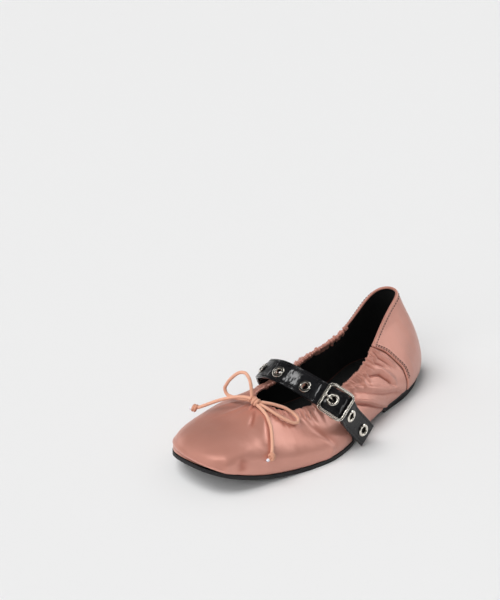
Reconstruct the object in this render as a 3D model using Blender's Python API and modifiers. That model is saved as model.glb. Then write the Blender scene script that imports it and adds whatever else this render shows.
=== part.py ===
"""Left ballet flat with a buckled instep strap and a small cord bow.

Metres, +Z up.  The toe points to -Y, the heel to +Y, the lateral side is +X.
The tables below are in millimetres and are turned into metres by MM.
"""
import bpy
import bmesh
import math
import numpy as np
from mathutils import Matrix, Vector

MM = 0.001
GAP = 0.3            # clearance between neighbouring pieces
ORIGIN = (-1.9, 0.0, 0.0)   # moves the middle of the whole shoe's box to the origin

# sole and insole
SOLE_THICK = 3.0
SOLE_EDGE = 0.5      # how far the outsole stands out from the foot of the upper
INSOLE_THICK = 1.8
INSOLE_INSET = 2.8
HEEL_BREAST_Y = 49.0
HEEL_INSET = 1.7
TRIM_EDGE = 4.0      # the two straps are cut along the sole joint out to here
PROFILE_STEP = 5.0   # the sole is bent in flat strips of this length

# upper
WALL = 1.8
FOOT_GAP = 0.4
SPOKES = 96          # around the shoe
RINGS = 11           # from the sole up to the collar

# strap and buckle
STRAP_WIDTH = 17.2
STRAP_THICK = 1.8
STRAP_STEP = 2.4
CHAPE_WIDTH = 15.8
CHAPE_THICK = 1.2
SLOT_WIDTH = 2.6
EYELET_RADIUS = 4.6
EYELET_BACK_RADIUS = 3.1
EYELET_HOLE = 2.4
EYELET_BARREL = 2.9
EYELET_DOME = 1.0
FRAME_LENGTH = 21.0  # along the strap
FRAME_WIDTH = 22.4   # across the strap
FRAME_BAR = 2.2
FRAME_LOW = 1.6      # underside of the frame above the strap's base line
FRAME_HEIGHT = 2.6
FRAME_CORNER = 4.5
BAR_RADIUS = 0.9
BAR_ALONG = 3.4
BAR_OFF = -0.65
PRONG_RADIUS = 0.65

# cord of the bow
CORD_RADIUS = 1.2
CORD_STEP = 3.0
TAIL_KNOT_SIZE = (4.6, 3.8, 3.8)

# underside of the outsole: y, z
SOLE_PROFILE = (
    (-125.0, 17.3), (-115.0, 13.4), (-105.0, 9.9), (-95.0, 6.8), (-85.0, 4.2), (-74.0, 2.2),
    (-62.0, 0.7), (-50.0, 0.0), (-20.0, 0.0), (0.0, 0.7), (14.0, 1.3), (38.0, 1.9),
    (50.0, 3.0), (60.0, 4.2), (75.0, 5.2), (95.0, 6.0), (125.0, 6.2),
)

# one row for each spoke of the upper, going round from the toe over the medial side:
# foot of the spoke (x, y), its top at the collar (x, y, z), the low handle (out, up)
# and the high handle (out, down)
UPPER_SPOKES = (
    # foot x, foot y, top x, top y, top z, out, up, out, down
    (-5.2, -121.0, -1.0, -54.5, 40.2, 4.7, 15.5, 28.5, 9.8),    # toe
    (-30.6, -108.6, -8.2, -48.2, 37.0, 5.2, 16.0, 23.0, 8.4),
    (-45.6, -67.3, -17.5, -37.2, 34.9, 4.9, 17.0, 11.2, 4.4),   # medial ball
    (-38.3, -25.6, -20.7, -9.0, 33.8, 4.4, 15.8, 9.5, 4.9),
    (-26.2, 15.0, -21.0, 26.3, 40.1, 4.1, 15.3, 7.6, 7.6),
    (-25.2, 55.0, -17.7, 61.0, 49.0, 3.6, 15.1, 5.5, 11.8),     # medial seam
    (-25.3, 89.6, -16.4, 92.4, 66.4, 2.6, 15.1, 11.5, 12.3),
    (1.7, 121.5, -1.8, 100.5, 69.6, 2.7, 17.0, 8.7, 16.8),      # back
    (25.6, 89.2, 4.3, 86.6, 62.7, 3.0, 14.1, 2.8, 14.0),
    (31.2, 54.1, 11.1, 61.2, 49.1, 3.8, 14.7, 4.8, 12.0),       # lateral seam
    (38.5, 13.5, 17.8, 32.6, 36.5, 4.0, 15.0, 7.9, 7.0),
    (45.7, -26.4, 19.0, -14.2, 30.5, 4.1, 15.0, 7.9, 6.1),
    (38.4, -63.8, 14.6, -45.4, 34.6, 4.2, 16.0, 8.9, 6.1),      # lateral ball
    (22.1, -111.6, 6.0, -54.2, 39.2, 4.5, 15.2, 22.1, 9.0),
)

# the buckle's own axes: the point of the strap's base line under the frame's centre
# and the strap's direction there; the width direction is tilted, rear edge up
BUCKLE_CENTRE = (38.5, -20.4, 38.7)
BUCKLE_ALONG = (0.79, 0.375, -0.483)
BAND_TILT = 38.0

# strap: x, y, z of its middle line, the tilt of its width and its swing in plan,
# both in degrees
STRAP_MEDIAL = (
    (-28.9, 9.2, 3.0, 5.0, 15.0),
    (-31.1, 7.0, 9.0, 7.0, 15.0),
    (-33.5, 2.0, 17.5, 10.0, 14.0),
    (-34.4, -5.0, 27.0, 13.0, 8.0),
    (-30.5, -13.8, 37.8, 17.0, -2.0),
    (-21.8, -23.0, 45.6, 21.0, -7.0),
    (-2.5, -29.5, 52.2, 33.0, 0.0),
    (12.6, -26.2, 48.3, 38.0, 0.0),
)
# the strap in the buckle: along it and off its base line
STRAP_IN_BUCKLE = (
    (-11.0, 0.1), (-8.6, 0.0), (-5.6, 0.8), (-2.4, 2.2), (0.8, 3.0), (3.4, 3.2),
    (6.2, 2.2), (8.9, 0.0), (10.3, -1.0),
)
STRAP_LATERAL = (
    (46.0, -12.6, 27.8, 38.0, 0.0),
    (47.6, -1.4, 13.9, 38.0, 0.0),
    (48.6, 4.4, 6.6, 38.0, 0.0),
)
# eyelets: distance along the strap from the buckle's centre, shift to the rear edge
EYELETS = (
    (-89.0, 0.0), (-67.5, -0.8), (-45.4, -1.6), (-23.4, -1.9), (-1.6, 0.0),
    (17.9, 0.0), (37.7, 0.0),
)

# the short strap of the buckle, from the sole joint to the buckle's bar and back
CHAPE_ROUTE = (
    (42.4, 1.6, 3.0, 5.0, -11.0),
    (43.3, 0.8, 8.0, 10.0, -11.0),
    (43.7, -1.6, 14.0, 18.0, -8.0),
    (43.4, -5.2, 20.0, 28.0, -4.0),
    (41.9, -9.8, 25.6, 36.0, 0.0),
)
CHAPE_IN_BUCKLE = (
    (9.6, -4.2), (6.6, -1.2), (4.5, 0.9), (3.3, 1.2), (2.0, 0.6), (1.6, -0.65),
    (2.0, -1.8), (3.2, -2.45), (5.0, -3.4), (6.6, -4.6), (7.8, -5.9),
)
# the prong: a hook around the bar, then up through an eyelet and onto the frame
PRONG_HOOK = (-10.0, -60.0, -110.0, -150.0, -180.0)
PRONG_TAIL = (
    (0.6, -0.35), (-0.7, 0.5), (-1.9, 2.0), (-3.0, 3.5), (-4.4, 4.6), (-6.4, 5.1),
    (-8.6, 5.15), (-10.3, 5.1),
)

# bow
KNOT_CENTRE = (0.8, -61.0, 42.4)
KNOT_SIZE = (5.2, 5.2, 6.2)
LOOP_MEDIAL = (
    (-1.9, -60.9, 46.6), (-2.4, -60.8, 50.5), (-3.1, -60.8, 54.5), (-4.8, -60.7, 58.4),
    (-7.9, -60.5, 60.7), (-11.4, -60.3, 60.2), (-16.0, -60.0, 57.5), (-20.0, -59.8, 53.6),
    (-25.2, -59.4, 47.0), (-27.5, -59.4, 41.2), (-25.8, -59.4, 38.3), (-20.7, -59.7, 38.0),
    (-15.0, -60.0, 38.8), (-9.0, -60.3, 40.3), (-6.0, -60.4, 41.0),
)
LOOP_LATERAL = (
    (4.5, -57.9, 41.9), (6.8, -55.4, 41.1), (9.1, -52.6, 40.1), (11.8, -49.2, 38.4),
    (15.1, -46.0, 36.6), (18.1, -43.8, 34.4), (21.3, -42.6, 32.2), (24.4, -42.8, 30.2),
    (26.2, -44.9, 29.3), (25.9, -48.2, 29.7), (23.8, -51.1, 31.2), (21.2, -53.4, 33.1),
    (17.9, -55.7, 35.4), (14.6, -57.3, 37.3), (10.6, -58.6, 39.2),
)
TAIL_MEDIAL = (
    (-3.4, -62.7, 44.3), (-7.3, -64.2, 44.3), (-13.8, -66.7, 42.7), (-20.2, -69.2, 40.0),
    (-26.8, -71.7, 36.4), (-33.3, -74.2, 32.4), (-36.9, -75.5, 30.3),
)
TAIL_LATERAL = (
    (7.2, -62.0, 39.8), (13.0, -63.3, 37.6), (18.0, -65.9, 35.3), (21.6, -68.3, 33.3),
    (25.2, -71.5, 30.9), (29.2, -75.6, 27.1), (32.0, -78.9, 23.5),
)
TAIL_KNOT_MEDIAL = ((-39.9, -76.7, 29.1), (-42.8, -77.9, 28.4))
TAIL_KNOT_LATERAL = ((34.2, -82.0, 20.5), (34.6, -85.0, 18.8))

COLOURS = {
    # name: colour, roughness, metallic
    "satin": ((0.52, 0.27, 0.23), 0.4, 0.0),
    "rubber": ((0.012, 0.012, 0.013), 0.6, 0.0),
    "lining": ((0.008, 0.008, 0.009), 0.8, 0.0),
    "leather": ((0.012, 0.012, 0.013), 0.3, 0.0),
    "silver": ((0.75, 0.73, 0.70), 0.22, 1.0),
    "cord": ((0.82, 0.48, 0.36), 0.75, 0.0),
}


def clear_scene():
    for item in list(bpy.data.objects):
        bpy.data.objects.remove(item, do_unlink=True)


def make_collection(name):
    found = bpy.data.collections.new(name)
    bpy.context.scene.collection.children.link(found)
    return found


def make_material(name):
    colour, roughness, metallic = COLOURS[name]
    material = bpy.data.materials.new(name)
    material.use_nodes = True
    shader = material.node_tree.nodes["Principled BSDF"]
    shader.inputs["Base Color"].default_value = (*colour, 1.0)
    shader.inputs["Roughness"].default_value = roughness
    shader.inputs["Metallic"].default_value = metallic
    return material


# points and curves

def closed_spline(rows, count):
    """Points of a closed uniform cubic spline that passes through every row."""
    rows = np.array(rows, dtype=float)
    size = len(rows)
    ring = np.zeros((size, size))
    for i in range(size):
        ring[i, i] = 4 / 6
        ring[i, (i - 1) % size] = 1 / 6
        ring[i, (i + 1) % size] = 1 / 6
    control = np.linalg.solve(ring, rows)
    points = []
    for k in range(count):
        place = k * size / count
        i = int(place)
        f = place - i
        weights = (
            (1 - f) ** 3 / 6,
            (3 * f ** 3 - 6 * f ** 2 + 4) / 6,
            (-3 * f ** 3 + 3 * f ** 2 + 3 * f + 1) / 6,
            f ** 3 / 6,
        )
        point = sum(w * control[(i - 1 + j) % size] for j, w in enumerate(weights))
        points.append(point)
    return np.array(points)


def open_spline(rows, step):
    """Points about a step apart on a smooth curve through rows, and their distances.

    The first three columns are the position; the others are carried along.
    """
    rows = np.array(rows, dtype=float)
    lengths = np.linalg.norm(np.diff(rows[:, :3], axis=0), axis=1)
    knots = np.concatenate([[0.0], np.cumsum(lengths)])
    slopes = np.gradient(rows, knots, axis=0)
    fine = []
    for i in range(len(rows) - 1):
        span = knots[i + 1] - knots[i]
        for f in np.linspace(0.0, 1.0, 24, endpoint=False):
            fine.append(
                (2 * f ** 3 - 3 * f ** 2 + 1) * rows[i]
                + (f ** 3 - 2 * f ** 2 + f) * span * slopes[i]
                + (3 * f ** 2 - 2 * f ** 3) * rows[i + 1]
                + (f ** 3 - f ** 2) * span * slopes[i + 1]
            )
    fine.append(rows[-1])
    fine = np.array(fine)
    walked = np.linalg.norm(np.diff(fine[:, :3], axis=0), axis=1)
    along = np.concatenate([[0.0], np.cumsum(walked)])
    count = max(2, int(round(along[-1] / step)) + 1)
    places = np.linspace(0.0, along[-1], count)
    points = [np.interp(places, along, fine[:, k]) for k in range(fine.shape[1])]
    return np.stack(points, axis=1), places


def sole_height(y):
    ys = [row[0] for row in SOLE_PROFILE]
    zs = [row[1] for row in SOLE_PROFILE]
    return float(np.interp(y, ys, zs))


def unit(vector):
    return np.array(vector, dtype=float) / np.linalg.norm(vector)


def outward(ring):
    """Level unit vectors pointing away from a closed outline of x, y points."""
    ahead = np.roll(ring, -1, axis=0) - np.roll(ring, 1, axis=0)
    normal = np.stack([ahead[:, 1], -ahead[:, 0]], axis=1)
    normal /= np.linalg.norm(normal, axis=1)[:, None]
    middle = ring.mean(axis=0)
    if np.sum(normal * (ring - middle)) < 0:
        normal = -normal
    return normal


def tilted_width(tangent, tilt, swing):
    """The direction across a strap: rear edge up by tilt, turned in plan by swing."""
    tilt = math.radians(tilt)
    swing = math.radians(swing)
    across = np.array([
        math.sin(swing) * math.cos(tilt), math.cos(swing) * math.cos(tilt), math.sin(tilt)])
    across = across - np.dot(across, tangent) * tangent
    return unit(across)


def buckle_axes():
    along = unit(BUCKLE_ALONG)
    across = tilted_width(along, BAND_TILT, 0.0)
    off = np.cross(along, across)
    return np.array(BUCKLE_CENTRE), along, across, off


def in_buckle(pairs):
    centre, along, across, off = buckle_axes()
    return [(*(centre + a * along + o * off), BAND_TILT, 0.0) for a, o in pairs]


def foot_ring(offset):
    """The outline at the foot of the upper, moved outwards by offset."""
    ring = closed_spline(UPPER_SPOKES, SPOKES)[:, :2]
    return ring + outward(ring) * offset


# meshes and objects

def add_object(name, mesh, material, smooth=35.0):
    item = bpy.data.objects.new(name, mesh)
    item.data.materials.clear()
    item.data.materials.append(MATERIALS[material])
    PARTS.objects.link(item)
    item.parent = ROOT
    if smooth is not None:
        mesh.shade_smooth()
        mesh.set_sharp_from_angle(angle=math.radians(smooth))
    return item


def mesh_from(name, bm):
    bmesh.ops.recalc_face_normals(bm, faces=bm.faces)
    mesh = bpy.data.meshes.new(name)
    bm.to_mesh(mesh)
    bm.free()
    return mesh


def bent_plate(name, outline, low, high, material, front=None):
    """A plate of the given outline whose two faces follow low(y) and high(y)."""
    bm = bmesh.new()
    bm.faces.new([bm.verts.new((x * MM, y * MM, 0.0)) for x, y in outline])
    ys = outline[:, 1]
    if front is not None:
        bmesh.ops.bisect_plane(
            bm, geom=bm.verts[:] + bm.edges[:] + bm.faces[:],
            plane_co=(0.0, front * MM, 0.0), plane_no=(0.0, 1.0, 0.0), clear_inner=True)
    cut = math.ceil(ys.min() / PROFILE_STEP) * PROFILE_STEP
    while cut < ys.max():
        bmesh.ops.bisect_plane(
            bm, geom=bm.verts[:] + bm.edges[:] + bm.faces[:], dist=1e-6,
            plane_co=(0.0, cut * MM, 0.0), plane_no=(0.0, 1.0, 0.0))
        cut += PROFILE_STEP
    bmesh.ops.remove_doubles(bm, verts=bm.verts, dist=2e-5)
    lower = bm.verts[:]
    grown = bmesh.ops.extrude_face_region(bm, geom=bm.faces[:])
    upper = [v for v in grown["geom"] if isinstance(v, bmesh.types.BMVert)]
    for vertex in lower:
        vertex.co.z = low(vertex.co.y / MM) * MM
    for vertex in upper:
        vertex.co.z = high(vertex.co.y / MM) * MM
    return add_object(name, mesh_from(name, bm), material)


def add_solidify(item, thickness, offset):
    wall = item.modifiers.new("wall", "SOLIDIFY")
    wall.thickness = thickness * MM
    wall.offset = offset
    wall.use_even_offset = True
    return wall


def add_bevel(item, width, segments=1, angle=40.0):
    edge = item.modifiers.new("edge", "BEVEL")
    edge.width = width * MM
    edge.segments = segments
    edge.limit_method = "ANGLE"
    edge.angle_limit = math.radians(angle)
    return edge


def add_cut(item, cutter, operation="DIFFERENCE"):
    cut = item.modifiers.new("cut " + cutter.name, "BOOLEAN")
    cut.operation = operation
    cut.solver = "EXACT"
    cut.object = cutter
    return cut


def as_cutter(item):
    for home in list(item.users_collection):
        home.objects.unlink(item)
    CUTTERS.objects.link(item)
    item.parent = ROOT
    item.hide_render = True
    item.display_type = "WIRE"
    return item


def grid_mesh(name, rows, closed):
    """A sheet through rows of points; closed joins the last row to the first."""
    bm = bmesh.new()
    made = [[bm.verts.new(Vector(p) * MM) for p in row] for row in rows]
    last = len(made) if closed else len(made) - 1
    for i in range(last):
        here = made[i]
        there = made[(i + 1) % len(made)]
        for j in range(len(here) - 1):
            bm.faces.new((here[j], there[j], there[j + 1], here[j + 1]))
    mesh = bpy.data.meshes.new(name)
    bm.to_mesh(mesh)
    bm.free()
    return mesh


def axes_matrix(origin, x_axis, y_axis, z_axis):
    matrix = Matrix.Identity(4)
    for row in range(3):
        matrix[row][0] = x_axis[row]
        matrix[row][1] = y_axis[row]
        matrix[row][2] = z_axis[row]
        matrix[row][3] = origin[row] * MM
    return matrix


def make_box(name, size, centre, material="leather"):
    bm = bmesh.new()
    bmesh.ops.create_cube(bm, size=1.0)
    for vertex in bm.verts:
        for k in range(3):
            vertex.co[k] = (vertex.co[k] * size[k] + centre[k]) * MM
    return add_object(name, mesh_from(name, bm), material)


def make_cylinder(name, radius, depth, sides=20, material="leather"):
    bm = bmesh.new()
    bmesh.ops.create_cone(
        bm, cap_ends=True, segments=sides, radius1=radius * MM, radius2=radius * MM,
        depth=depth * MM)
    return add_object(name, mesh_from(name, bm), material)


# sole, heel and insole

def make_sole():
    under = sole_height
    top = lambda y: sole_height(y) + SOLE_THICK
    bent_plate("outsole", foot_ring(SOLE_EDGE), under, top, "rubber")
    ground = lambda y: 0.0
    seat = lambda y: sole_height(y) - GAP
    bent_plate("heel", foot_ring(-HEEL_INSET), ground, seat, "rubber", front=HEEL_BREAST_Y)
    bed = lambda y: sole_height(y) + SOLE_THICK + GAP
    cover = lambda y: bed(y) + INSOLE_THICK
    bent_plate("insole", foot_ring(-INSOLE_INSET), bed, cover, "lining")
    deep = lambda y: -30.0
    as_cutter(bent_plate("trim", foot_ring(TRIM_EDGE), deep, bed, "rubber"))


# upper

def upper_rows():
    spokes = closed_spline(UPPER_SPOKES, SPOKES)
    feet = spokes[:, :2]
    out = outward(feet)
    rows = []
    for spoke, way in zip(spokes, out):
        fx, fy, tx, ty, tz, low_out, low_up, high_out, high_down = spoke
        side = np.array([way[0], way[1], 0.0])
        up = np.array([0.0, 0.0, 1.0])
        foot = np.array([fx, fy, sole_height(fy) + SOLE_THICK + FOOT_GAP])
        top = np.array([tx, ty, tz])
        low = foot + low_out * side + low_up * up
        high = top + high_out * side - high_down * up
        row = []
        for k in range(RINGS + 1):
            v = k / RINGS
            row.append(
                (1 - v) ** 3 * foot + 3 * (1 - v) ** 2 * v * low
                + 3 * (1 - v) * v ** 2 * high + v ** 3 * top)
        rows.append(row)
    return rows


def make_upper():
    mesh = grid_mesh("upper", upper_rows(), closed=True)
    item = add_object("upper", mesh, "satin")
    add_solidify(item, WALL, UPPER_SIDE)
    return item


# strap, short strap and eyelets

def band_frames(rows, step):
    """Middle points, tangents, widths and normals along a strap."""
    points, places = open_spline(rows, step)
    middles = points[:, :3]
    tangents = np.gradient(middles, places, axis=0)
    frames = []
    for middle, tangent, turns in zip(middles, tangents, points[:, 3:]):
        tangent = unit(tangent)
        across = tilted_width(tangent, *turns)
        frames.append((middle, tangent, across, np.cross(tangent, across)))
    return frames, places


def make_band(name, rows, width, thickness, step, material):
    frames, places = band_frames(rows, step)
    sheet = []
    for middle, tangent, across, normal in frames:
        sheet.append([middle + across * width * (k - 0.5) for k in (0.0, 0.25, 0.5, 0.75, 1.0)])
    item = add_object(name, grid_mesh(name, sheet, closed=False), material)
    add_solidify(item, thickness, 0.0)
    add_bevel(item, 0.35)
    return item, frames, places


def strap_rows():
    return list(STRAP_MEDIAL) + in_buckle(STRAP_IN_BUCKLE) + list(STRAP_LATERAL)


def frame_at(frames, places, distance):
    k = int(np.clip(np.searchsorted(places, distance), 1, len(places) - 1))
    f = (distance - places[k - 1]) / (places[k] - places[k - 1])
    before, after = frames[k - 1], frames[k]
    middle = before[0] * (1 - f) + after[0] * f
    tangent = unit(before[1] * (1 - f) + after[1] * f)
    across = before[2] * (1 - f) + after[2] * f
    across = unit(across - np.dot(across, tangent) * tangent)
    return middle, tangent, across, np.cross(tangent, across)


def eyelet_mesh():
    """A turned ring: a domed flange outside, a barrel and a flat flange behind."""
    front = STRAP_THICK / 2 + 0.45
    back = -STRAP_THICK / 2 - 0.45
    profile = (
        (EYELET_HOLE, back - 0.5), (EYELET_HOLE, front + 0.35), (EYELET_HOLE + 0.35, front + 0.8),
        (EYELET_HOLE + 1.0, front + EYELET_DOME), (EYELET_RADIUS - 0.5, front + 0.6),
        (EYELET_RADIUS, front + 0.2), (EYELET_RADIUS - 0.1, front), (EYELET_BARREL, front),
        (EYELET_BARREL, back), (EYELET_BACK_RADIUS, back), (EYELET_BACK_RADIUS - 0.2, back - 0.5),
    )
    bm = bmesh.new()
    made = [bm.verts.new((x * MM, 0.0, z * MM)) for x, z in profile]
    for k, vertex in enumerate(made):
        bm.edges.new((vertex, made[(k + 1) % len(made)]))
    mesh = bpy.data.meshes.new("eyelet")
    bm.to_mesh(mesh)
    bm.free()
    return mesh


def add_turn(item, steps):
    turn = item.modifiers.new("turn", "SCREW")
    turn.axis = "Z"
    turn.steps = steps
    turn.render_steps = steps
    turn.use_merge_vertices = True
    turn.merge_threshold = 0.00001
    turn.use_smooth_shade = True
    return turn


def make_strap():
    strap, frames, places = make_band(
        "strap", strap_rows(), STRAP_WIDTH, STRAP_THICK, STRAP_STEP, "leather")
    centre = np.array(BUCKLE_CENTRE)
    nearest = min(range(len(frames)), key=lambda k: np.linalg.norm(frames[k][0] - centre))
    shared = eyelet_mesh()
    for k, (distance, shift) in enumerate(EYELETS):
        middle, tangent, across, normal = frame_at(frames, places, places[nearest] + distance)
        placed = axes_matrix(middle + across * shift, tangent, across, normal)
        hole = as_cutter(make_cylinder("hole_%d" % (k + 1), EYELET_BARREL + GAP, 8.0))
        hole.matrix_world = placed
        add_cut(strap, hole)
        ring = add_object("eyelet_%d" % (k + 1), shared, "silver", smooth=None)
        ring.matrix_world = placed
        add_turn(ring, 20)
    add_cut(strap, bpy.data.objects["trim"])
    return strap


def make_chape():
    rows = list(CHAPE_ROUTE) + in_buckle(CHAPE_IN_BUCKLE)
    item, frames, places = make_band(
        "buckle_strap", rows, CHAPE_WIDTH, CHAPE_THICK, 1.0, "leather")
    slot = as_cutter(make_box("slot", (6.6, SLOT_WIDTH, 9.0), (BAR_ALONG - 0.9, 0.0, -1.0)))
    slot.matrix_world = axes_matrix(*buckle_axes())
    add_cut(item, slot)
    add_cut(item, bpy.data.objects["trim"])
    return item


# buckle

def rounded_rectangle(length, width, corner, steps=5):
    points = []
    corners = ((1, 1, 0), (-1, 1, 90), (-1, -1, 180), (1, -1, 270))
    for sx, sy, start in corners:
        cx = sx * (length / 2 - corner)
        cy = sy * (width / 2 - corner)
        for k in range(steps + 1):
            angle = math.radians(start + 90 * k / steps)
            points.append((cx + corner * math.cos(angle), cy + corner * math.sin(angle)))
    return points


def make_slab(name, outline, low, high, material):
    bm = bmesh.new()
    bm.faces.new([bm.verts.new((x * MM, y * MM, low * MM)) for x, y in outline])
    grown = bmesh.ops.extrude_face_region(bm, geom=bm.faces[:])
    upper = [v for v in grown["geom"] if isinstance(v, bmesh.types.BMVert)]
    bmesh.ops.translate(bm, verts=upper, vec=(0.0, 0.0, (high - low) * MM))
    return add_object(name, mesh_from(name, bm), material)


def make_buckle():
    placed = axes_matrix(*buckle_axes())
    outer = rounded_rectangle(FRAME_LENGTH, FRAME_WIDTH, FRAME_CORNER)
    inner = rounded_rectangle(
        FRAME_LENGTH - 2 * FRAME_BAR, FRAME_WIDTH - 2 * FRAME_BAR, 1.4)
    frame = make_slab("buckle_frame", outer, FRAME_LOW, FRAME_LOW + FRAME_HEIGHT, "silver")
    frame.matrix_world = placed
    window = as_cutter(make_slab("window", inner, FRAME_LOW - 2, FRAME_LOW + 5, "silver"))
    window.matrix_world = placed
    add_cut(frame, window)
    add_bevel(frame, 0.5, 2, 50.0)
    side = FRAME_WIDTH / 2 - FRAME_BAR / 2
    depth = FRAME_LOW - BAR_OFF + BAR_RADIUS + 0.6
    for k, sign in enumerate((1, -1)):
        ear = as_cutter(make_box(
            "ear_%d" % k, (2.4, FRAME_BAR - 0.7, depth),
            (BAR_ALONG, sign * side, FRAME_LOW + 0.6 - depth / 2), "silver"))
        ear.matrix_world = placed
        add_cut(frame, ear, "UNION")
    bar = as_cutter(make_cylinder("bar", BAR_RADIUS, 2 * side, 12, "silver"))
    stand = Matrix.Rotation(math.radians(90.0), 4, "X")
    bar.matrix_world = placed @ Matrix.Translation(
        (BAR_ALONG * MM, 0.0, BAR_OFF * MM)) @ stand
    add_cut(frame, bar, "UNION")


def make_prong():
    reach = BAR_RADIUS + 0.3 + PRONG_RADIUS
    pairs = []
    for degrees in PRONG_HOOK:
        angle = math.radians(degrees)
        pairs.append((BAR_ALONG + reach * math.cos(angle), BAR_OFF + reach * math.sin(angle)))
    pairs.extend(PRONG_TAIL)
    rows = [row[:3] for row in in_buckle(pairs)]
    make_cord("buckle_prong", rows, PRONG_RADIUS, 1.0, "silver")


# bow

def make_cord(name, rows, radius, step, material):
    points, places = open_spline(rows, step)
    data = bpy.data.curves.new(name, "CURVE")
    data.dimensions = "3D"
    data.bevel_depth = radius * MM
    data.bevel_resolution = 2
    data.use_fill_caps = True
    spline = data.splines.new("POLY")
    spline.points.add(len(points) - 1)
    for target, point in zip(spline.points, points):
        target.co = (*(Vector(point) * MM), 1.0)
    item = bpy.data.objects.new(name, data)
    data.materials.append(MATERIALS[material])
    PARTS.objects.link(item)
    item.parent = ROOT
    return item


def make_bead(name, centre, size, toward, material):
    """An oval bead whose long side points along toward."""
    bm = bmesh.new()
    bmesh.ops.create_uvsphere(bm, u_segments=16, v_segments=10, radius=0.5)
    for vertex in bm.verts:
        for k in range(3):
            vertex.co[k] = vertex.co[k] * size[k] * MM
    item = add_object(name, mesh_from(name, bm), material)
    turn = Vector((1.0, 0.0, 0.0)).rotation_difference(Vector(toward))
    item.rotation_mode = "QUATERNION"
    item.rotation_quaternion = turn
    item.location = Vector(centre) * MM
    return item


def make_bow():
    make_bead("bow_knot", KNOT_CENTRE, KNOT_SIZE, (1.0, 0.0, 0.0), "cord")
    make_cord("bow_loop_medial", LOOP_MEDIAL, CORD_RADIUS, CORD_STEP, "cord")
    make_cord("bow_loop_lateral", LOOP_LATERAL, CORD_RADIUS, CORD_STEP, "cord")
    make_cord("bow_tail_medial", TAIL_MEDIAL, CORD_RADIUS, CORD_STEP, "cord")
    make_cord("bow_tail_lateral", TAIL_LATERAL, CORD_RADIUS, CORD_STEP, "cord")
    for side, ends in (("medial", TAIL_KNOT_MEDIAL), ("lateral", TAIL_KNOT_LATERAL)):
        start, tip = (np.array(end) for end in ends)
        make_bead("tail_knot_" + side, start, TAIL_KNOT_SIZE, tip - start, "cord")


UPPER_SIDE = 1.0
clear_scene()
PARTS = make_collection("ballet_flat")
CUTTERS = make_collection("cutters")
MATERIALS = {name: make_material(name) for name in COLOURS}
ROOT = bpy.data.objects.new("shoe", None)
ROOT.location = Vector(ORIGIN) * MM
PARTS.objects.link(ROOT)
make_sole()
make_upper()
make_strap()
make_chape()
make_buckle()
make_prong()
make_bow()
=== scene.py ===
"""Looks of the ballet flat: ruched satin upper, black strap with a square buckle, cord bow.

It is the left shoe. The toe points to -Y, the medial side is -X, and the tables are in
millimetres, in the shoe's own numbers; SHIFT carries them to the row's frame.
"""
import math

import bpy
import numpy as np
from mathutils import Matrix, Vector


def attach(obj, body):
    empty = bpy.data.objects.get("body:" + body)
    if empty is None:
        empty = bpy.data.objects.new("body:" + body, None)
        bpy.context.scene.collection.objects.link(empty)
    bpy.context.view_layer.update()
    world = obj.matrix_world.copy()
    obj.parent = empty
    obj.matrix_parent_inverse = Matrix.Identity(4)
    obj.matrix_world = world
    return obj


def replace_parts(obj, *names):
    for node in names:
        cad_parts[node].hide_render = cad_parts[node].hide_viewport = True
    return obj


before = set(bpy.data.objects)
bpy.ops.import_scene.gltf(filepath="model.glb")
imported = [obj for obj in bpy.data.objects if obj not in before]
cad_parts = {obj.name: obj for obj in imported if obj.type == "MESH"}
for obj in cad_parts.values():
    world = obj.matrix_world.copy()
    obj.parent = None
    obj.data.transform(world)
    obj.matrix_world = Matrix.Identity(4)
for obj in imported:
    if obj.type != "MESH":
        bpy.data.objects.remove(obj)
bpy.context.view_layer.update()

MM = 0.001
SHIFT = np.array([-1.9, 0.0, 0.0])

# Camera

VIEW_PLACE = (0.77681, -0.98187, 0.68272)
VIEW_AZIMUTH = 40.38
VIEW_HEIGHT = 25.08
VIEW_ROLL = 0.73
VIEW_LENS = 120.227


def add_camera():
    turn = math.radians(VIEW_AZIMUTH)
    lift = math.radians(VIEW_HEIGHT)
    roll = math.radians(VIEW_ROLL)
    right = Vector((math.cos(turn), math.sin(turn), 0.0))
    back = Vector((math.sin(turn) * math.cos(lift), -math.cos(turn) * math.cos(lift), math.sin(lift)))
    up = back.cross(right)
    across = math.cos(roll) * right + math.sin(roll) * up
    upward = -math.sin(roll) * right + math.cos(roll) * up
    bpy.ops.object.camera_add(location=VIEW_PLACE)
    camera = bpy.context.object
    camera.name = "camera"
    camera.rotation_euler = Matrix((across, upward, back)).transposed().to_euler()
    camera.data.lens = VIEW_LENS
    camera.data.sensor_width = 36.0
    camera.data.clip_end = 20.0
    bpy.context.scene.camera = camera


# Curves

def unit(vectors):
    vectors = np.asarray(vectors, dtype=float)
    return vectors / np.maximum(np.linalg.norm(vectors, axis=-1, keepdims=True), 1e-12)


def hill(x, centre, width):
    """A rounded ridge, 1 high, as a share of a height or depth."""
    return np.exp(-((x - centre) / width) ** 2)


def ring_controls(rows):
    """Controls of the closed cubic spline that passes through every row."""
    rows = np.array(rows, dtype=float)
    one = np.eye(len(rows))
    weights = one * 4 / 6 + (np.roll(one, 1, axis=0) + np.roll(one, -1, axis=0)) / 6
    return np.linalg.solve(weights, rows)


def ring_at(controls, u):
    size = len(controls)
    place = np.mod(u, 1.0) * size
    i = np.floor(place).astype(int) % size
    f = (place - np.floor(place))[:, None]
    weights = (
        (1 - f) ** 3 / 6,
        (3 * f ** 3 - 6 * f ** 2 + 4) / 6,
        (-3 * f ** 3 + 3 * f ** 2 + 3 * f + 1) / 6,
        f ** 3 / 6,
    )
    return sum(w * controls[(i - 1 + j) % size] for j, w in enumerate(weights))


def distances(points):
    """Distance from the first point along the line to each point."""
    return np.concatenate([[0.0], np.cumsum(np.linalg.norm(np.diff(points, axis=0), axis=1))])


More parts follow.
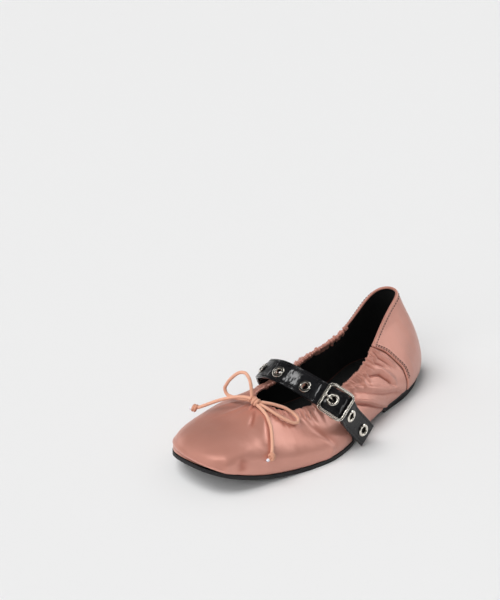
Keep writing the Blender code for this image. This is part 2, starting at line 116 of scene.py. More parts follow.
def smooth_line(rows, count):
    """Evenly spaced points of a smooth open line through rows, and their distances."""
    rows = np.array(rows, dtype=float)
    knots = distances(rows[:, :3])
    slopes = np.gradient(rows, knots, axis=0)
    fine = []
    for i in range(len(rows) - 1):
        span = knots[i + 1] - knots[i]
        for f in np.linspace(0.0, 1.0, 24, endpoint=False):
            fine.append(
                (2 * f ** 3 - 3 * f ** 2 + 1) * rows[i]
                + (f ** 3 - 2 * f ** 2 + f) * span * slopes[i]
                + (3 * f ** 2 - 2 * f ** 3) * rows[i + 1]
                + (f ** 3 - f ** 2) * span * slopes[i + 1]
            )
    fine.append(rows[-1])
    fine = np.array(fine)
    along = distances(fine[:, :3])
    places = np.linspace(0.0, along[-1], count)
    return line_at(fine, along, places), places


def line_at(table, places, distance):
    """Values of a table of rows at the given distances along it."""
    return np.stack([np.interp(distance, places, table[:, k]) for k in range(table.shape[1])], axis=1)


# Meshes

def deselect():
    if bpy.context.object and bpy.context.object.mode != "OBJECT":
        bpy.ops.object.mode_set(mode="OBJECT")
    bpy.ops.object.select_all(action="DESELECT")


def pick(item):
    deselect()
    item.select_set(True)
    bpy.context.view_layer.objects.active = item


def new_item(name):
    item = bpy.context.object
    item.name = item.data.name = name
    return item


def edit_all():
    bpy.ops.object.mode_set(mode="EDIT")
    bpy.ops.mesh.select_all(action="SELECT")


def place_points(item, points):
    item.data.vertices.foreach_set("co", np.ascontiguousarray(points * MM, dtype=np.float32).ravel())
    item.data.update()


def grid_numbers(item):
    """Where each point of a new unit grid lies, from 0 to 1 each way."""
    flat = np.empty(len(item.data.vertices) * 3, dtype=np.float32)
    item.data.vertices.foreach_get("co", flat)
    flat = flat.reshape(-1, 3).astype(float)
    return np.clip(flat[:, 0] + 0.5, 0, 1), np.clip(flat[:, 1] + 0.5, 0, 1)


def write_cloth_map(item, across, along):
    """The UV map gives the distance over the material, in metres."""
    loops = len(item.data.loops)
    of_loop = np.empty(loops, dtype=np.int32)
    item.data.loops.foreach_get("vertex_index", of_loop)
    flat = np.stack([across[of_loop] * MM, along[of_loop] * MM], axis=1)
    item.data.uv_layers[0].data.foreach_set("uv", flat.astype(np.float32).ravel())


def make_sheet(name, columns, rows, shape, flip=False, merge=0.0, masks=()):
    """A grid laid over the surface that shape gives: points, cloth distances and masks."""
    deselect()
    bpy.ops.mesh.primitive_grid_add(x_subdivisions=columns, y_subdivisions=rows, size=1.0)
    item = new_item(name)
    a, b = grid_numbers(item)
    made = shape(a, b)
    place_points(item, made[0] + SHIFT)
    write_cloth_map(item, made[1], made[2])
    for mask, values in zip(masks, made[3:]):
        layer = item.data.attributes.new(mask, "FLOAT", "POINT")
        layer.data.foreach_set("value", np.asarray(values, dtype=np.float32))
    edit_all()
    if flip:
        bpy.ops.mesh.flip_normals()
    if merge:
        bpy.ops.mesh.remove_doubles(threshold=merge * MM)
    bpy.ops.object.mode_set(mode="OBJECT")
    bpy.ops.object.shade_smooth()
    return item


def face_outwards():
    edit_all()
    bpy.ops.mesh.normals_make_consistent(inside=False)
    bpy.ops.object.mode_set(mode="OBJECT")


def finish_piece(item, material, angle=None):
    pick(item)
    item.data.materials.clear()
    item.data.materials.append(material)
    if angle is not None:
        bpy.ops.object.shade_smooth_by_angle(angle=math.radians(angle))
    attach(item, "root")
    return item


def apply_modifier(item, kind, **values):
    pick(item)
    modifier = item.modifiers.new(kind.lower(), kind)
    for key, value in values.items():
        setattr(modifier, key, value)
    bpy.ops.object.modifier_apply(modifier=modifier.name)


def join(items, name):
    deselect()
    for item in items:
        item.select_set(True)
    bpy.context.view_layer.objects.active = items[0]
    bpy.ops.object.join()
    items[0].name = items[0].data.name = name
    return items[0]


def copy_to(item, matrix):
    """A copy with its own mesh, carried by a matrix that is in millimetres."""
    twin = item.copy()
    twin.data = item.data.copy()
    bpy.context.scene.collection.objects.link(twin)
    twin.data.transform(matrix)
    return twin


def stand(origin, x_axis, y_axis, z_axis):
    matrix = np.eye(4)
    matrix[:3] = np.stack([x_axis, y_axis, z_axis, (np.asarray(origin) + SHIFT) * MM], axis=1)
    return Matrix(matrix.tolist())


# Sizes of the sole and the upper

SOLE_THICK = 3.0
SOLE_EDGE = 0.5
FOOT_GAP = 0.4
INSOLE_THICK = 1.8
INSOLE_INSET = 2.8
INSOLE_LIFT = 0.3
HEEL_BREAST = 49.0
HEEL_INSET = 1.7
# underside of the outsole: y, z
SOLE_PROFILE = (
    (-125.0, 17.3), (-115.0, 13.4), (-105.0, 9.9), (-95.0, 6.8), (-85.0, 4.2), (-74.0, 2.2),
    (-62.0, 0.7), (-50.0, 0.0), (-20.0, 0.0), (0.0, 0.7), (14.0, 1.3), (38.0, 1.9),
    (50.0, 3.0), (60.0, 4.2), (75.0, 5.2), (95.0, 6.0), (125.0, 6.2),
)
# toe, then round over the medial side: foot x, y, collar x, y, z, the low handle's
# out and up, the high handle's out and down
UPPER_SPOKES = (
    (-5.2, -121.0, -1.0, -54.5, 40.2, 4.7, 15.5, 28.5, 9.8),
    (-30.6, -108.6, -8.2, -48.2, 37.0, 5.2, 16.0, 23.0, 8.4),
    (-45.6, -67.3, -17.5, -37.2, 34.9, 4.9, 17.0, 11.2, 4.4),
    (-38.3, -25.6, -20.7, -9.0, 33.8, 4.4, 15.8, 9.5, 4.9),
    (-26.2, 15.0, -21.0, 26.3, 40.1, 4.1, 15.3, 7.6, 7.6),
    (-25.2, 55.0, -17.7, 61.0, 49.0, 3.6, 15.1, 5.5, 11.8),
    (-25.3, 89.6, -16.4, 92.4, 66.4, 2.6, 15.1, 11.5, 12.3),
    (1.7, 121.5, -1.8, 100.5, 69.6, 2.7, 17.0, 8.7, 16.8),
    (25.6, 89.2, 4.3, 86.6, 62.7, 3.0, 14.1, 2.8, 14.0),
    (31.2, 54.1, 11.1, 61.2, 49.1, 3.8, 14.7, 4.8, 12.0),
    (38.5, 13.5, 17.8, 32.6, 36.5, 4.0, 15.0, 7.9, 7.0),
    (45.7, -26.4, 19.0, -14.2, 30.5, 4.1, 15.0, 7.9, 6.1),
    (38.4, -63.8, 14.6, -45.4, 34.6, 4.2, 16.0, 8.9, 6.1),
    (22.1, -111.6, 6.0, -54.2, 39.2, 4.5, 15.2, 22.1, 9.0),
)
UPPER_CONTROLS = ring_controls(UPPER_SPOKES)


def sole_height(y):
    ys, zs = np.array(SOLE_PROFILE).T
    return np.interp(y, ys, zs)


def level_out(u):
    """Level unit vectors away from the shoe at its foot."""
    ahead = ring_at(UPPER_CONTROLS, u + 0.002)[:, :2] - ring_at(UPPER_CONTROLS, u - 0.002)[:, :2]
    return unit(np.stack([-ahead[:, 1], ahead[:, 0], np.zeros(len(u))], axis=1))


def upper_at(u, v):
    """The satin's outer face: u round the shoe, v from the sole, 0, to the collar, 1."""
    spoke = ring_at(UPPER_CONTROLS, u)
    out = level_out(u)
    up = np.array([0.0, 0.0, 1.0])
    foot = np.stack(
        [spoke[:, 0], spoke[:, 1], sole_height(spoke[:, 1]) + SOLE_THICK + FOOT_GAP], axis=1)
    top = spoke[:, 2:5]
    low = foot + spoke[:, 5:6] * out + spoke[:, 6:7] * up
    high = top + spoke[:, 7:8] * out - spoke[:, 8:9] * up
    v = v[:, None]
    return (
        (1 - v) ** 3 * foot + 3 * (1 - v) ** 2 * v * low
        + 3 * (1 - v) * v ** 2 * high + v ** 3 * top)


def upper_axes(u, v):
    """Unit vectors of the outer face: round, up and outwards."""
    step = 0.0008
    ahead = upper_at(u + step, v) - upper_at(u - step, v)
    rise = upper_at(u, v + step) - upper_at(u, v - step)
    out = unit(np.cross(rise, ahead))
    rise = unit(rise)
    return unit(np.cross(out, rise)), rise, out


COLLAR_TURNS = np.linspace(-1.0, 2.0, 3001)
COLLAR_WALK = distances(upper_at(COLLAR_TURNS, np.ones(3001)))
COLLAR_ZERO = np.interp(0.0, COLLAR_TURNS, COLLAR_WALK)


def collar_distance(u):
    """Distance along the collar from the toe's middle, medial way positive, in mm."""
    return np.interp(u, COLLAR_TURNS, COLLAR_WALK) - COLLAR_ZERO


def depth_below(u, v):
    """Distance over the satin from the collar down to v."""
    total = np.zeros(len(u))
    last = upper_at(u, v)
    for k in range(1, 13):
        here = upper_at(u, v + (1 - v) * k / 12)
        total += np.linalg.norm(here - last, axis=1)
        last = here
    return total


# Gathers and folds of the satin

CASING = 5.0           # depth of the elastic's channel along the collar
COLLAR_ROLL = 1.2
COUNTER_ROLL = 0.42
COUNTER_RISE = 0.6     # the counter stands this far over the smooth collar
LINING_INSET = 1.85
OVER_SEAT = 1.4        # the satin hangs this far down over the rubber at the heel
UNDER_PANEL = 0.008    # how far the gathered satin runs on under the counter, in u
ROUND_LENGTH = 470.0   # mm round the shoe for one turn of u
# a sheet of cloth from its sole edge: tucked in, then its face, its turned edge, its strip
CLOTH_TUCK = 0.03
CLOTH_FACE = 0.72
CLOTH_TURNED = 0.88
TUCK_IN = 1.3          # how far the cloth's sole edge is turned in under the shoe
SEAT_TUCK_IN = 0.6     # the same round the heel
TUCK_DOWN = 0.32
LONGER_AT_SOLE = 0.35  # share by which the cloth is longer round the sole than the collar
FOLD_STEPS = 48
SEAM_LATERAL = (
    (0.985, 0.6614), (0.84, 0.6464), (0.67, 0.6279), (0.535, 0.6164), (0.415, 0.6057),
    (0.32, 0.5979), (0.22, 0.595), (0.12, 0.5929), (0.0, 0.5929),
)
SEAM_MEDIAL = ((1.0, 0.352), (0.75, 0.366), (0.5, 0.382), (0.25, 0.397), (0.0, 0.41))
# a fold: its line (u, v), height, width on its left and right, a sharp crease's
# depth and how far to the right of the line that crease lies
FOLDS = (
    # quarter, lateral side
    (((0.742, 0.84), (0.7043, 0.56), (0.66, 0.31), (0.603, 0.06)), 2.4, 2.6, 1.7, -0.9, 3.2),
    (((0.705, 0.85), (0.668, 0.64), (0.6457, 0.435), (0.63, 0.28)), 2.5, 3.2, 1.8, -2.0, 3.6),
    (((0.6829, 0.85), (0.665, 0.71), (0.6464, 0.56)), -1.5, 1.0, 1.3, 0.0, 0.0),
    (((0.6621, 0.88), (0.6407, 0.66), (0.6204, 0.46)), 1.6, 1.5, 1.3, -1.2, 2.4),
    (((0.752, 0.7), (0.7264, 0.505), (0.7093, 0.39), (0.6871, 0.235), (0.655, 0.02)),
     2.2, 1.6, 0.9, -1.9, 1.9),
    # quarter, medial side
    (((0.265, 0.84), (0.30, 0.56), (0.345, 0.31), (0.395, 0.08)), 2.1, 1.7, 2.4, -0.9, -3.2),
    (((0.30, 0.85), (0.335, 0.62), (0.365, 0.4)), 2.2, 1.8, 3.0, -1.7, -3.6),
    (((0.25, 0.7), (0.275, 0.45), (0.315, 0.15)), 1.6, 1.3, 2.2, -1.4, -2.4),
    # ball of the foot
    (((0.806, 0.33), (0.7964, 0.135), (0.7993, 0.035), (0.81, 0.005)), 0.7, 2.5, 2.4, 0.0, 0.0),
    (((0.818, 0.62), (0.8036, 0.4), (0.7871, 0.22)), -0.9, 3.2, 2.8, 0.0, 0.0),
    (((0.8093, 0.86), (0.806, 0.64)), -0.7, 1.2, 1.4, 0.0, 0.0),
    (((0.8193, 0.86), (0.817, 0.66)), 0.6, 1.3, 1.5, 0.0, 0.0),
    (((0.792, 0.85), (0.788, 0.68)), 0.6, 1.3, 1.7, 0.0, 0.0),
    (((0.19, 0.7), (0.205, 0.42), (0.2, 0.2)), -0.7, 3.2, 3.4, 0.0, 0.0),
    # vamp: from the knot forwards
    (((0.9436, 0.9), (0.9243, 0.675), (0.9057, 0.5)), 0.8, 2.8, 3.4, 0.0, 0.0),
    (((0.963, 0.9), (0.949, 0.72)), -1.0, 1.8, 2.2, 0.0, 0.0),
    (((0.03, 0.9), (0.045, 0.7)), 0.5, 2.4, 2.6, 0.0, 0.0),
    (((0.075, 0.88), (0.1, 0.62)), 0.6, 2.6, 3.0, 0.0, 0.0),
    # toe: a dent over the sole, its lit side, and the lasted edge
    (((0.9145, 0.07), (0.9165, 0.14), (0.9235, 0.27)), -0.9, 2.6, 3.2, 0.0, 0.0),
    (((0.932, 0.03), (0.934, 0.13), (0.937, 0.2)), 0.8, 3.0, 2.6, 0.0, 0.0),
    (((1.10, 0.12), (1.0493, 0.13), (1.005, 0.085), (0.9671, 0.065), (0.9379, 0.035), (0.9229, 0.01)),
     1.1, 1.5, 1.3, -0.9, 2.2),
)


def seam_u(table, v):
    vs, us = np.array(sorted(table)).T
    return np.interp(v, vs, us)


def spaced(seed, low, high, start, end):
    places = start + np.cumsum(np.random.default_rng(seed).uniform(low, high, 600))
    return places[places < end]


PLEATS = spaced(11, 1.3, 3.0, -190.0, 190.0)
PLEAT_HEIGHTS = np.random.default_rng(12).uniform(0.35, 1.15, len(PLEATS) + 1)
WRINKLES = spaced(21, 2.6, 6.2, -150.0, 150.0)
WRINKLE_NUMBERS = np.random.default_rng(22).uniform(0.0, 1.0, (len(WRINKLES), 5))


def gather_strength(s):
    """How tightly the elastic gathers the satin, along the collar."""
    places = (-140, -118, -70, -45, -22, -12, 0, 12, 24, 50, 90, 120, 140)
    values = (0.9, 1.0, 1.0, 0.9, 0.75, 0.9, 1.0, 0.8, 0.6, 0.85, 1.0, 1.0, 0.9)
    return np.interp(s, places, values)


def slant(s):
    """How far the gathers lean towards the heel, for each mm down."""
    return 0.55 * np.sign(-s) * np.clip((np.abs(s) - 40.0) / 25.0, 0, 1)


def pleat_height(s, d):
    place = s + slant(s) * np.clip(d, 0, 12) + 0.12 * np.sin(0.8 * d + 0.4 * s)
    count = np.interp(place, PLEATS, np.arange(len(PLEATS)))
    k = np.floor(count).astype(int)
    rounded = np.sin(np.pi * (count - k)) ** 0.9
    long = np.clip((3.0 + 7.0 * PLEAT_HEIGHTS[k] ** 2 - d) / 2.0, 0, 1)
    return (PLEAT_HEIGHTS[k] * rounded - 0.5) * long


def wrinkle_height(s, d):
    """Ridges that leave the casing and die out below it."""
    total = np.zeros(len(s))
    for start, (a, b, c, e, f) in zip(WRINKLES, WRINKLE_NUMBERS):
        side = np.interp(start, (-128, -60, -30, 0, 30, 60, 128), (1, 0.9, 0.55, 0.5, 0.5, 0.8, 1))
        reach = np.interp(start, (-128, -112, -60, -40, 40, 60, 112, 128),
                          (0.25, 0.5, 0.6, 1, 1, 0.75, 0.65, 0.3))
        length = (7.0 + 19.0 * a ** 1.6) * side * reach + 2.5
        near = np.abs(s - start) < 16.0
        x, y = s[near], d[near]
        line = start + ((b - 0.5) * 0.9 - slant(start)) * (y - CASING) + 1.2 * np.sin(0.16 * y + 6 * c)
        width = (0.75 + 0.7 * e) * (1.0 + 0.035 * y)
        across = (x - line) / width
        fade = np.clip((y - 3.2) / 3.0, 0, 1) * np.clip(1 - (y - CASING) / length, 0, 1) ** 1.2
        fade = fade * np.interp(start, (-131, -126, 126, 131), (0, 1, 1, 0))
        ridge = hill(across, 0, 1) - 0.6 * hill(across, 1.5, 0.8)
        total[near] += (0.7 + 1.0 * f) * side * fade * ridge
    return total


def line_on_upper(knots, count):
    """Points of the outer face on a walk through the knots (u, v)."""
    own, steps = np.linspace(0, 1, len(knots)), np.linspace(0, 1, count)
    return upper_at(*line_at(np.array(knots), own, steps).T)


def fold_height(points, out):
    """The listed folds, each measured over the surface from its own line."""
    total = np.zeros(len(points))
    for line, height, left, right, crease, crease_at in FOLDS:
        path = line_on_upper(line, FOLD_STEPS)
        ahead = unit(np.gradient(path, axis=0))
        reach = 3.2 * max(left, right) + abs(crease_at)
        middle = path.mean(axis=0)
        radius = np.linalg.norm(path - middle, axis=1).max() + reach
        near = np.nonzero(np.linalg.norm(points - middle, axis=1) < radius)[0]
        if len(near) == 0:
            continue
        gap = points[near][:, None, :] - path[None, :, :]
        nearest = np.argmin(np.sum(gap ** 2, axis=2), axis=1)
        away = gap[np.arange(len(near)), nearest]
        tangent = ahead[nearest]
        along = np.sum(away * tangent, axis=1)
        beside = np.sum(away * np.cross(tangent, out[near]), axis=1)
        ends = np.where((nearest == 0) | (nearest == FOLD_STEPS - 1), np.abs(along), 0.0)
        place = nearest / (FOLD_STEPS - 1)
        fade = np.sin(np.pi * np.clip(place * 0.88 + 0.06, 0, 1)) ** 0.6 * hill(ends, 0, 2.0)
        width = np.where(beside < 0, left, right)
        total[near] += height * fade * hill(beside, 0, width)
        if crease:
            total[near] += crease * fade * hill(beside, crease_at, 0.9)
    return total


def soft_waves(s, d):
    return (
        0.16 * np.sin(s / 9.0 + 1.3 * np.sin(d / 14.0)) * np.sin(d / 11.0 + 0.6)
        + 0.10 * np.sin(s / 5.1 + d / 7.3) + 0.12 * np.sin(d / 6.1 - s / 13.0))


def satin_height(u, v, s, d, points, out):
    """How far the gathered satin stands off the smooth upper, and its casing's pleats."""
    strength = gather_strength(s)
    band = np.clip(1 - ((d - 2.2) / 3.4) ** 2, 0, 1) ** 0.5
    groove = hill(d, CASING + 0.5, 0.55)
    deepest = np.interp(d, (0.0, 1.5, 3.5, 6.0, 11.0), (1.3, 1.7, 2.0, 1.8, 0.8))
    pleat = pleat_height(s, d) * strength * deepest
    seam_gap = np.minimum(
        np.abs(np.mod(u, 1.0) - seam_u(SEAM_LATERAL, v)), np.abs(u - seam_u(SEAM_MEDIAL, v))) * ROUND_LENGTH
    seam = -1.1 * hill(seam_gap, 0, 1.15)
    low = np.clip(d / 14.0, 0, 1) * np.clip(v / 0.12, 0, 1)
    return (
        0.3 * band * strength - 0.08 * groove * strength + pleat + seam
        + wrinkle_height(s, d) + fold_height(points, out) + soft_waves(s, d) * low)


def face_rows(b, v_top=1.0):
    """v of the rows over the outer face; they lie closer together near the collar."""
    place = np.clip((b - CLOTH_TUCK) / (CLOTH_FACE - CLOTH_TUCK), 0, 1)
    return v_top * (1 - (1 - place) ** 1.5)


def collar_turn(u, v_top, roll, turn):
    """Points and directions round the turned edge, which starts at v_top."""
    _, rise, out = upper_axes(u, v_top)
    ways = out * np.cos(turn)[:, None] + rise * np.sin(turn)[:, None]
    return upper_at(u, v_top) - out * roll + ways * roll, ways


def edge_v(u, roll):
    spoke = ring_at(UPPER_CONTROLS, u)
    return 1 - roll / (3 * np.hypot(spoke[:, 7], spoke[:, 8]))


def folded_cloth(u, b, roll, inside, height, rise_over=0.0):
    """An outer face, its turned edge and a strip down the inside, as one sheet.

    b runs from 0 at the sole to 1 at the strip's end; height gives how far it stands off.
    """
    v_top = edge_v(u, max(roll - rise_over, 0.02))
    speed = max(roll - rise_over, 0.02) / (1 - v_top)
    on_roll, on_strip = b > CLOTH_FACE, b > CLOTH_TURNED
    turn = np.pi * np.clip((b - CLOTH_FACE) / (CLOTH_TURNED - CLOTH_FACE), 0, 1)
    drop = inside * np.clip((b - CLOTH_TURNED) / (1 - CLOTH_TURNED), 0, 1)
    v = np.where(on_strip, v_top - drop / speed, face_rows(b, v_top))
    _, _, out = upper_axes(u, v)
    points = upper_at(u, v)
    round_edge, ways = collar_turn(u, v_top, roll, turn)
    s = collar_distance(u)
    d = depth_below(u, v)
    d = np.where(on_roll, roll * (1 - turn) - drop, d)
    stand_off = height(u, v, s, np.abs(d), points, out)
    stand_off = np.where(on_strip, 0.6 * stand_off, stand_off)
    rolled = round_edge + ways * stand_off[:, None]
    inner = points - out * (2 * roll - 0.25 * drop[:, None] / inside) - out * stand_off[:, None]
    face = points + out * stand_off[:, None]
    made = np.where(on_roll[:, None], rolled, face)
    made = np.where(on_strip[:, None], inner, made)
    fold_in = np.clip(1 - b / CLOTH_TUCK, 0, 1)[:, None]
    at_seat = np.interp(points[:, 1], (38.0, 62.0), (0.0, 1.0))
    tucked = TUCK_IN + (SEAT_TUCK_IN - TUCK_IN) * at_seat
    made = made - level_out(u) * tucked[:, None] * fold_in
    fallen = OVER_SEAT * at_seat * np.clip(1 - v / 0.1, 0, 1)
    made[:, 2] -= TUCK_DOWN * fold_in[:, 0] + fallen
    # painted shade: this mask is high where the satin sinks below the smooth upper, in its creases and
    # pleats, and darkens its colour there
    crease_shade = np.clip(0.25 - stand_off / 1.7, 0, 1)
    return made, s * (1 + LONGER_AT_SOLE * (1 - v)), d, crease_shade


def make_shell():
    def shape(a, b):
        v = face_rows(b)
        first = seam_u(SEAM_MEDIAL, v) + UNDER_PANEL
        last = seam_u(SEAM_LATERAL, v) - UNDER_PANEL - 1.0
        return folded_cloth(first + (last - first) * a, b, COLLAR_ROLL, 5.0, satin_height)
    return make_sheet("satin_shell", 860, 92, shape, masks=("crease_shade",))


def panel_edge(v, a):
    """u across the counter panel, closer together at its two edges, and mm to the nearest."""
    low, high = seam_u(SEAM_MEDIAL, v), seam_u(SEAM_LATERAL, v)
    spread = 0.55 * a + 0.45 * (0.5 - 0.5 * np.cos(np.pi * a))
    u = low + (high - low) * spread
    return u, np.minimum(spread, 1 - spread) * (high - low) * ROUND_LENGTH


def make_counter():
    def shape(a, b):
        u, edge = panel_edge(face_rows(b), 1 - a)

        def height(u, v, s, d, points, out):
            corner = np.clip(edge / 0.8, 0, 1)
            lift = 1.1 * np.sqrt(1 - (1 - corner) ** 2) - 0.55
            ridge = 0.26 * hill(edge, 0.75, 0.42)
            stitched = -0.14 * hill(edge, 2.1, 0.45)
            hem = -0.12 * hill(d, 2.7, 0.5)
            body = np.clip(edge / 8.0, 0, 1) * np.clip(d / 10.0, 0, 1)
            waves = 0.2 * np.sin(s / 11.0 + d / 12.0) * np.sin(d / 15.0) + 0.05 * np.sin(s / 7.0 - d / 5.0)
            dent = fold_panel(points)
            return lift + ridge + stitched + hem + body * (waves + dent)
        return folded_cloth(u, b, COUNTER_ROLL, 0.6, height, COUNTER_RISE)
    return make_sheet("counter_panel", 300, 80, shape, masks=("crease_shade",))


PANEL_FOLDS = (
    (((0.575, 0.78), (0.562, 0.57), (0.5586, 0.40)), -0.3, 3.2),
    (((0.59, 0.62), (0.578, 0.4), (0.574, 0.2)), 0.22, 2.8),
    (((0.545, 0.72), (0.535, 0.5)), -0.2, 2.4),
    (((0.43, 0.76), (0.438, 0.5), (0.44, 0.3)), -0.3, 3.0),
    (((0.46, 0.6), (0.455, 0.35)), 0.2, 2.6),
)


def fold_panel(points):
    total = np.zeros(len(points))
    for line, height, width in PANEL_FOLDS:
        path = line_on_upper(line, 40)
        gap = np.linalg.norm(points[:, None, :] - path[None, :, :], axis=2).min(axis=1)
        total += height * hill(gap, 0, width)
    return total


def make_lining():
    def shape(a, b):
        u = a
        v_top = edge_v(u, 1.0)
        v = v_top * (1 - b) - 0.01 * b
        _, _, out = upper_axes(u, v)
        s = collar_distance(u)
        gathered = np.interp(np.abs(s), (0, 118, 128, 180), (1, 1, 0, 0))
        d = depth_below(u, v)
        looser = 0.35 * gathered * np.clip(d / 5, 0, 1)
        inset = LINING_INSET + looser - 0.75 * (1 - gathered) * np.clip(1 - d / 8, 0, 1)
        puckers = 0.12 * np.sin(s / 1.9 + 1.7 * np.sin(d / 5)) * gathered * np.clip(1 - d / 16, 0, 1)
        points = upper_at(u, v) - out * (inset + puckers)[:, None]
        return points, s, d, np.zeros(len(u))
    return make_sheet("lining", 420, 40, shape, flip=True, merge=0.01)


# Sole

def make_plate(name, offset, count, low, high, front=None, ribs=0.0, rounding=0.4, waist=0.0):
    """A plate of the shoe's outline; its two faces follow low(y) and high(y)."""
    u = np.arange(count) / count
    outline = ring_at(UPPER_CONTROLS, u)[:, :2] + level_out(u)[:, :2] * offset
    ripple = ribs * (np.arange(count) % 2) * np.clip((outline[:, 1] - 40) / 12, 0, 1)
    drawn_in = waist * np.interp(outline[:, 1], (-6, 12, 40, 52), (0, 1, 1, 0.45))
    outline = outline - level_out(u)[:, :2] * (ripple + drawn_in)[:, None] + SHIFT[:2]
    deselect()
    bpy.ops.mesh.primitive_circle_add(vertices=count, radius=1.0, fill_type="NGON")
    item = new_item(name)
    flat = np.concatenate([outline * MM, np.zeros((count, 1))], axis=1)
    item.data.vertices.foreach_set("co", flat.astype(np.float32).ravel())
    bpy.ops.object.mode_set(mode="EDIT")
    if front is not None:
        bpy.ops.mesh.select_all(action="SELECT")
        bpy.ops.mesh.bisect(plane_co=(0, front * MM, 0), plane_no=(0, 1, 0), clear_inner=True)
    for y in np.arange(-124.0, 124.0, 4.0):
        bpy.ops.mesh.select_all(action="SELECT")
        bpy.ops.mesh.bisect(plane_co=(0, y * MM, 0), plane_no=(0, 1, 0), threshold=1e-6)
    bpy.ops.mesh.select_all(action="SELECT")
    bpy.ops.mesh.remove_doubles(threshold=0.02 * MM)
    bpy.ops.mesh.extrude_region_move(TRANSFORM_OT_translate={"value": (0, 0, 0.01)})
    bpy.ops.object.mode_set(mode="OBJECT")
    for vertex in item.data.vertices:
        y = vertex.co.y / MM
        vertex.co.z = (high(y) if vertex.co.z > 0.005 else low(y)) * MM
    face_outwards()
    apply_modifier(item, "BEVEL", width=rounding * MM, segments=2, limit_method="ANGLE",
                   angle_limit=math.radians(50))
    return item


def make_sole():
    top = lambda y: sole_height(y) + SOLE_THICK
    skived = lambda y: sole_height(y) + 1.1 * np.interp(y, (-2, 14, 40, 48), (0, 1, 1, 0))
    outsole = make_plate("outsole_rubber", SOLE_EDGE, 640, skived, top, ribs=0.16, waist=2.6)
    heel = make_plate("heel_block", -HEEL_INSET, 700, lambda y: 0.0,
                      lambda y: sole_height(y) - 0.25, front=HEEL_BREAST, ribs=0.28)
    bed = lambda y: sole_height(y) + SOLE_THICK + INSOLE_LIFT
    sock = make_plate("sock", -INSOLE_INSET, 240, bed, lambda y: bed(y) + INSOLE_THICK,
                      rounding=0.5)
    return outsole, heel, sock


def make_sock_edge():
    """The thin reddish edge of the sock, all round it."""
    thick = 0.32

    def shape(a, b):
        base = ring_at(UPPER_CONTROLS, a)[:, :2] + level_out(a)[:, :2] * (-INSOLE_INSET - 0.5)
        angle = 2 * np.pi * b
        height = sole_height(base[:, 1]) + SOLE_THICK + INSOLE_LIFT + INSOLE_THICK
        points = np.concatenate([base, height[:, None]], axis=1)
        points = points + level_out(a) * (thick * np.cos(angle))[:, None]
        points[:, 2] += thick * np.sin(angle)
        return points, 560 * a, 2 * b
    return make_sheet("sock_edge", 360, 8, shape, merge=0.005, flip=True)


# Stitches

SEAM_ROWS = (1.3, 2.9)   # rows of stitches, mm inside the counter's edge
SEAM_GAP = 2.5           # from stitch to stitch


def make_stitches(name, points, ahead, out, length=1.7, thick=0.62, tall=0.5):
    """One stitch, copied to each place and turned to lie along its seam."""
    deselect()
    bpy.ops.mesh.primitive_uv_sphere_add(segments=8, ring_count=6, radius=0.5)
    one = bpy.context.object
    edit_all()
    bpy.ops.transform.rotate(value=math.pi / 2, orient_axis="Y", center_override=(0, 0, 0))
    bpy.ops.transform.resize(
        value=(length * MM, thick * MM, tall * MM), center_override=(0, 0, 0))
    bpy.ops.object.mode_set(mode="OBJECT")
    copies = []
    for point, way, normal in zip(points, ahead, out):
        way = unit(way - np.dot(way, normal) * normal)
        copies.append(copy_to(one, stand(point, way, np.cross(normal, way), normal)))
    bpy.data.objects.remove(one, do_unlink=True)
    item = join(copies, name)
    bpy.ops.object.shade_smooth()
    return item


def evenly(points, gap):
    """Indexes of points on a fine line that lie about gap apart."""
    walked = distances(points)
    return np.searchsorted(walked, np.arange(gap / 2, walked[-1], gap))


def stitch_row(name, u, v, lift):
    _, _, out = upper_axes(u, v)
    points = upper_at(u, v) + out * lift
    chosen = evenly(points, SEAM_GAP)
    return make_stitches(name, points[chosen], np.gradient(points, axis=0)[chosen], out[chosen])


def make_counter_stitches():
    made = []
    v = np.linspace(0.965, 0.16, 400)
    for table, sign, tag in ((SEAM_LATERAL, -1, "lateral"), (SEAM_MEDIAL, 1, "medial")):
        for row, edge in enumerate(SEAM_ROWS):
            u = seam_u(table, v) + sign * edge / ROUND_LENGTH
            made.append(stitch_row("seam_stitches_%s_%d" % (tag, row), u, v, lift=0.78))
    u = np.linspace(0.357, 0.652, 700)
    v_top = edge_v(u, COUNTER_ROLL)
    speed = COUNTER_ROLL / (1 - v_top)
    made.append(stitch_row("collar_stitches", u, v_top - 1.7 / speed, lift=0.72))
    return join(made, "counter_stitches")


# Straps

STRAP_WIDTH = 17.2
STRAP_THICK = 1.8
CHAPE_WIDTH = 15.8
CHAPE_THICK = 1.2
STITCH_INSET = 1.9       # of the edge stitching, from a strap's edge
STRAP_STITCH_GAP = 2.3
ROOT_LENGTH = 12.0       # a strap's start over the sole joint
ROOT_LIFT = 3.5          # it stays at least this far over the sole's underside
BUCKLE_CENTRE = (38.5, -20.4, 38.7)
BUCKLE_ALONG = (0.79, 0.375, -0.483)
BAND_TILT = 38.0
# x, y, z of the middle line, the tilt of the width and its swing in plan
STRAP_MEDIAL = (
    (-28.9, 9.2, 3.0, 5.0, 15.0), (-31.1, 7.0, 9.0, 7.0, 15.0), (-33.5, 2.0, 17.5, 10.0, 14.0),
    (-34.4, -5.0, 27.0, 13.0, 8.0), (-30.5, -13.8, 37.8, 17.0, -2.0),
    (-21.8, -23.0, 45.6, 21.0, -7.0), (-2.5, -29.5, 52.2, 33.0, 0.0), (12.6, -26.2, 48.3, 38.0, 0.0),
)
STRAP_IN_BUCKLE = (
    (-11.0, 0.1), (-8.6, 0.0), (-5.6, 0.8), (-2.4, 2.2), (0.8, 3.0), (3.4, 3.2), (6.2, 2.2),
    (8.9, 0.0), (10.3, -1.0),
)
STRAP_LATERAL = (
    (46.0, -12.6, 27.8, 38.0, 0.0), (47.6, -1.4, 13.9, 38.0, 0.0), (48.6, 4.4, 6.6, 38.0, 0.0),
)
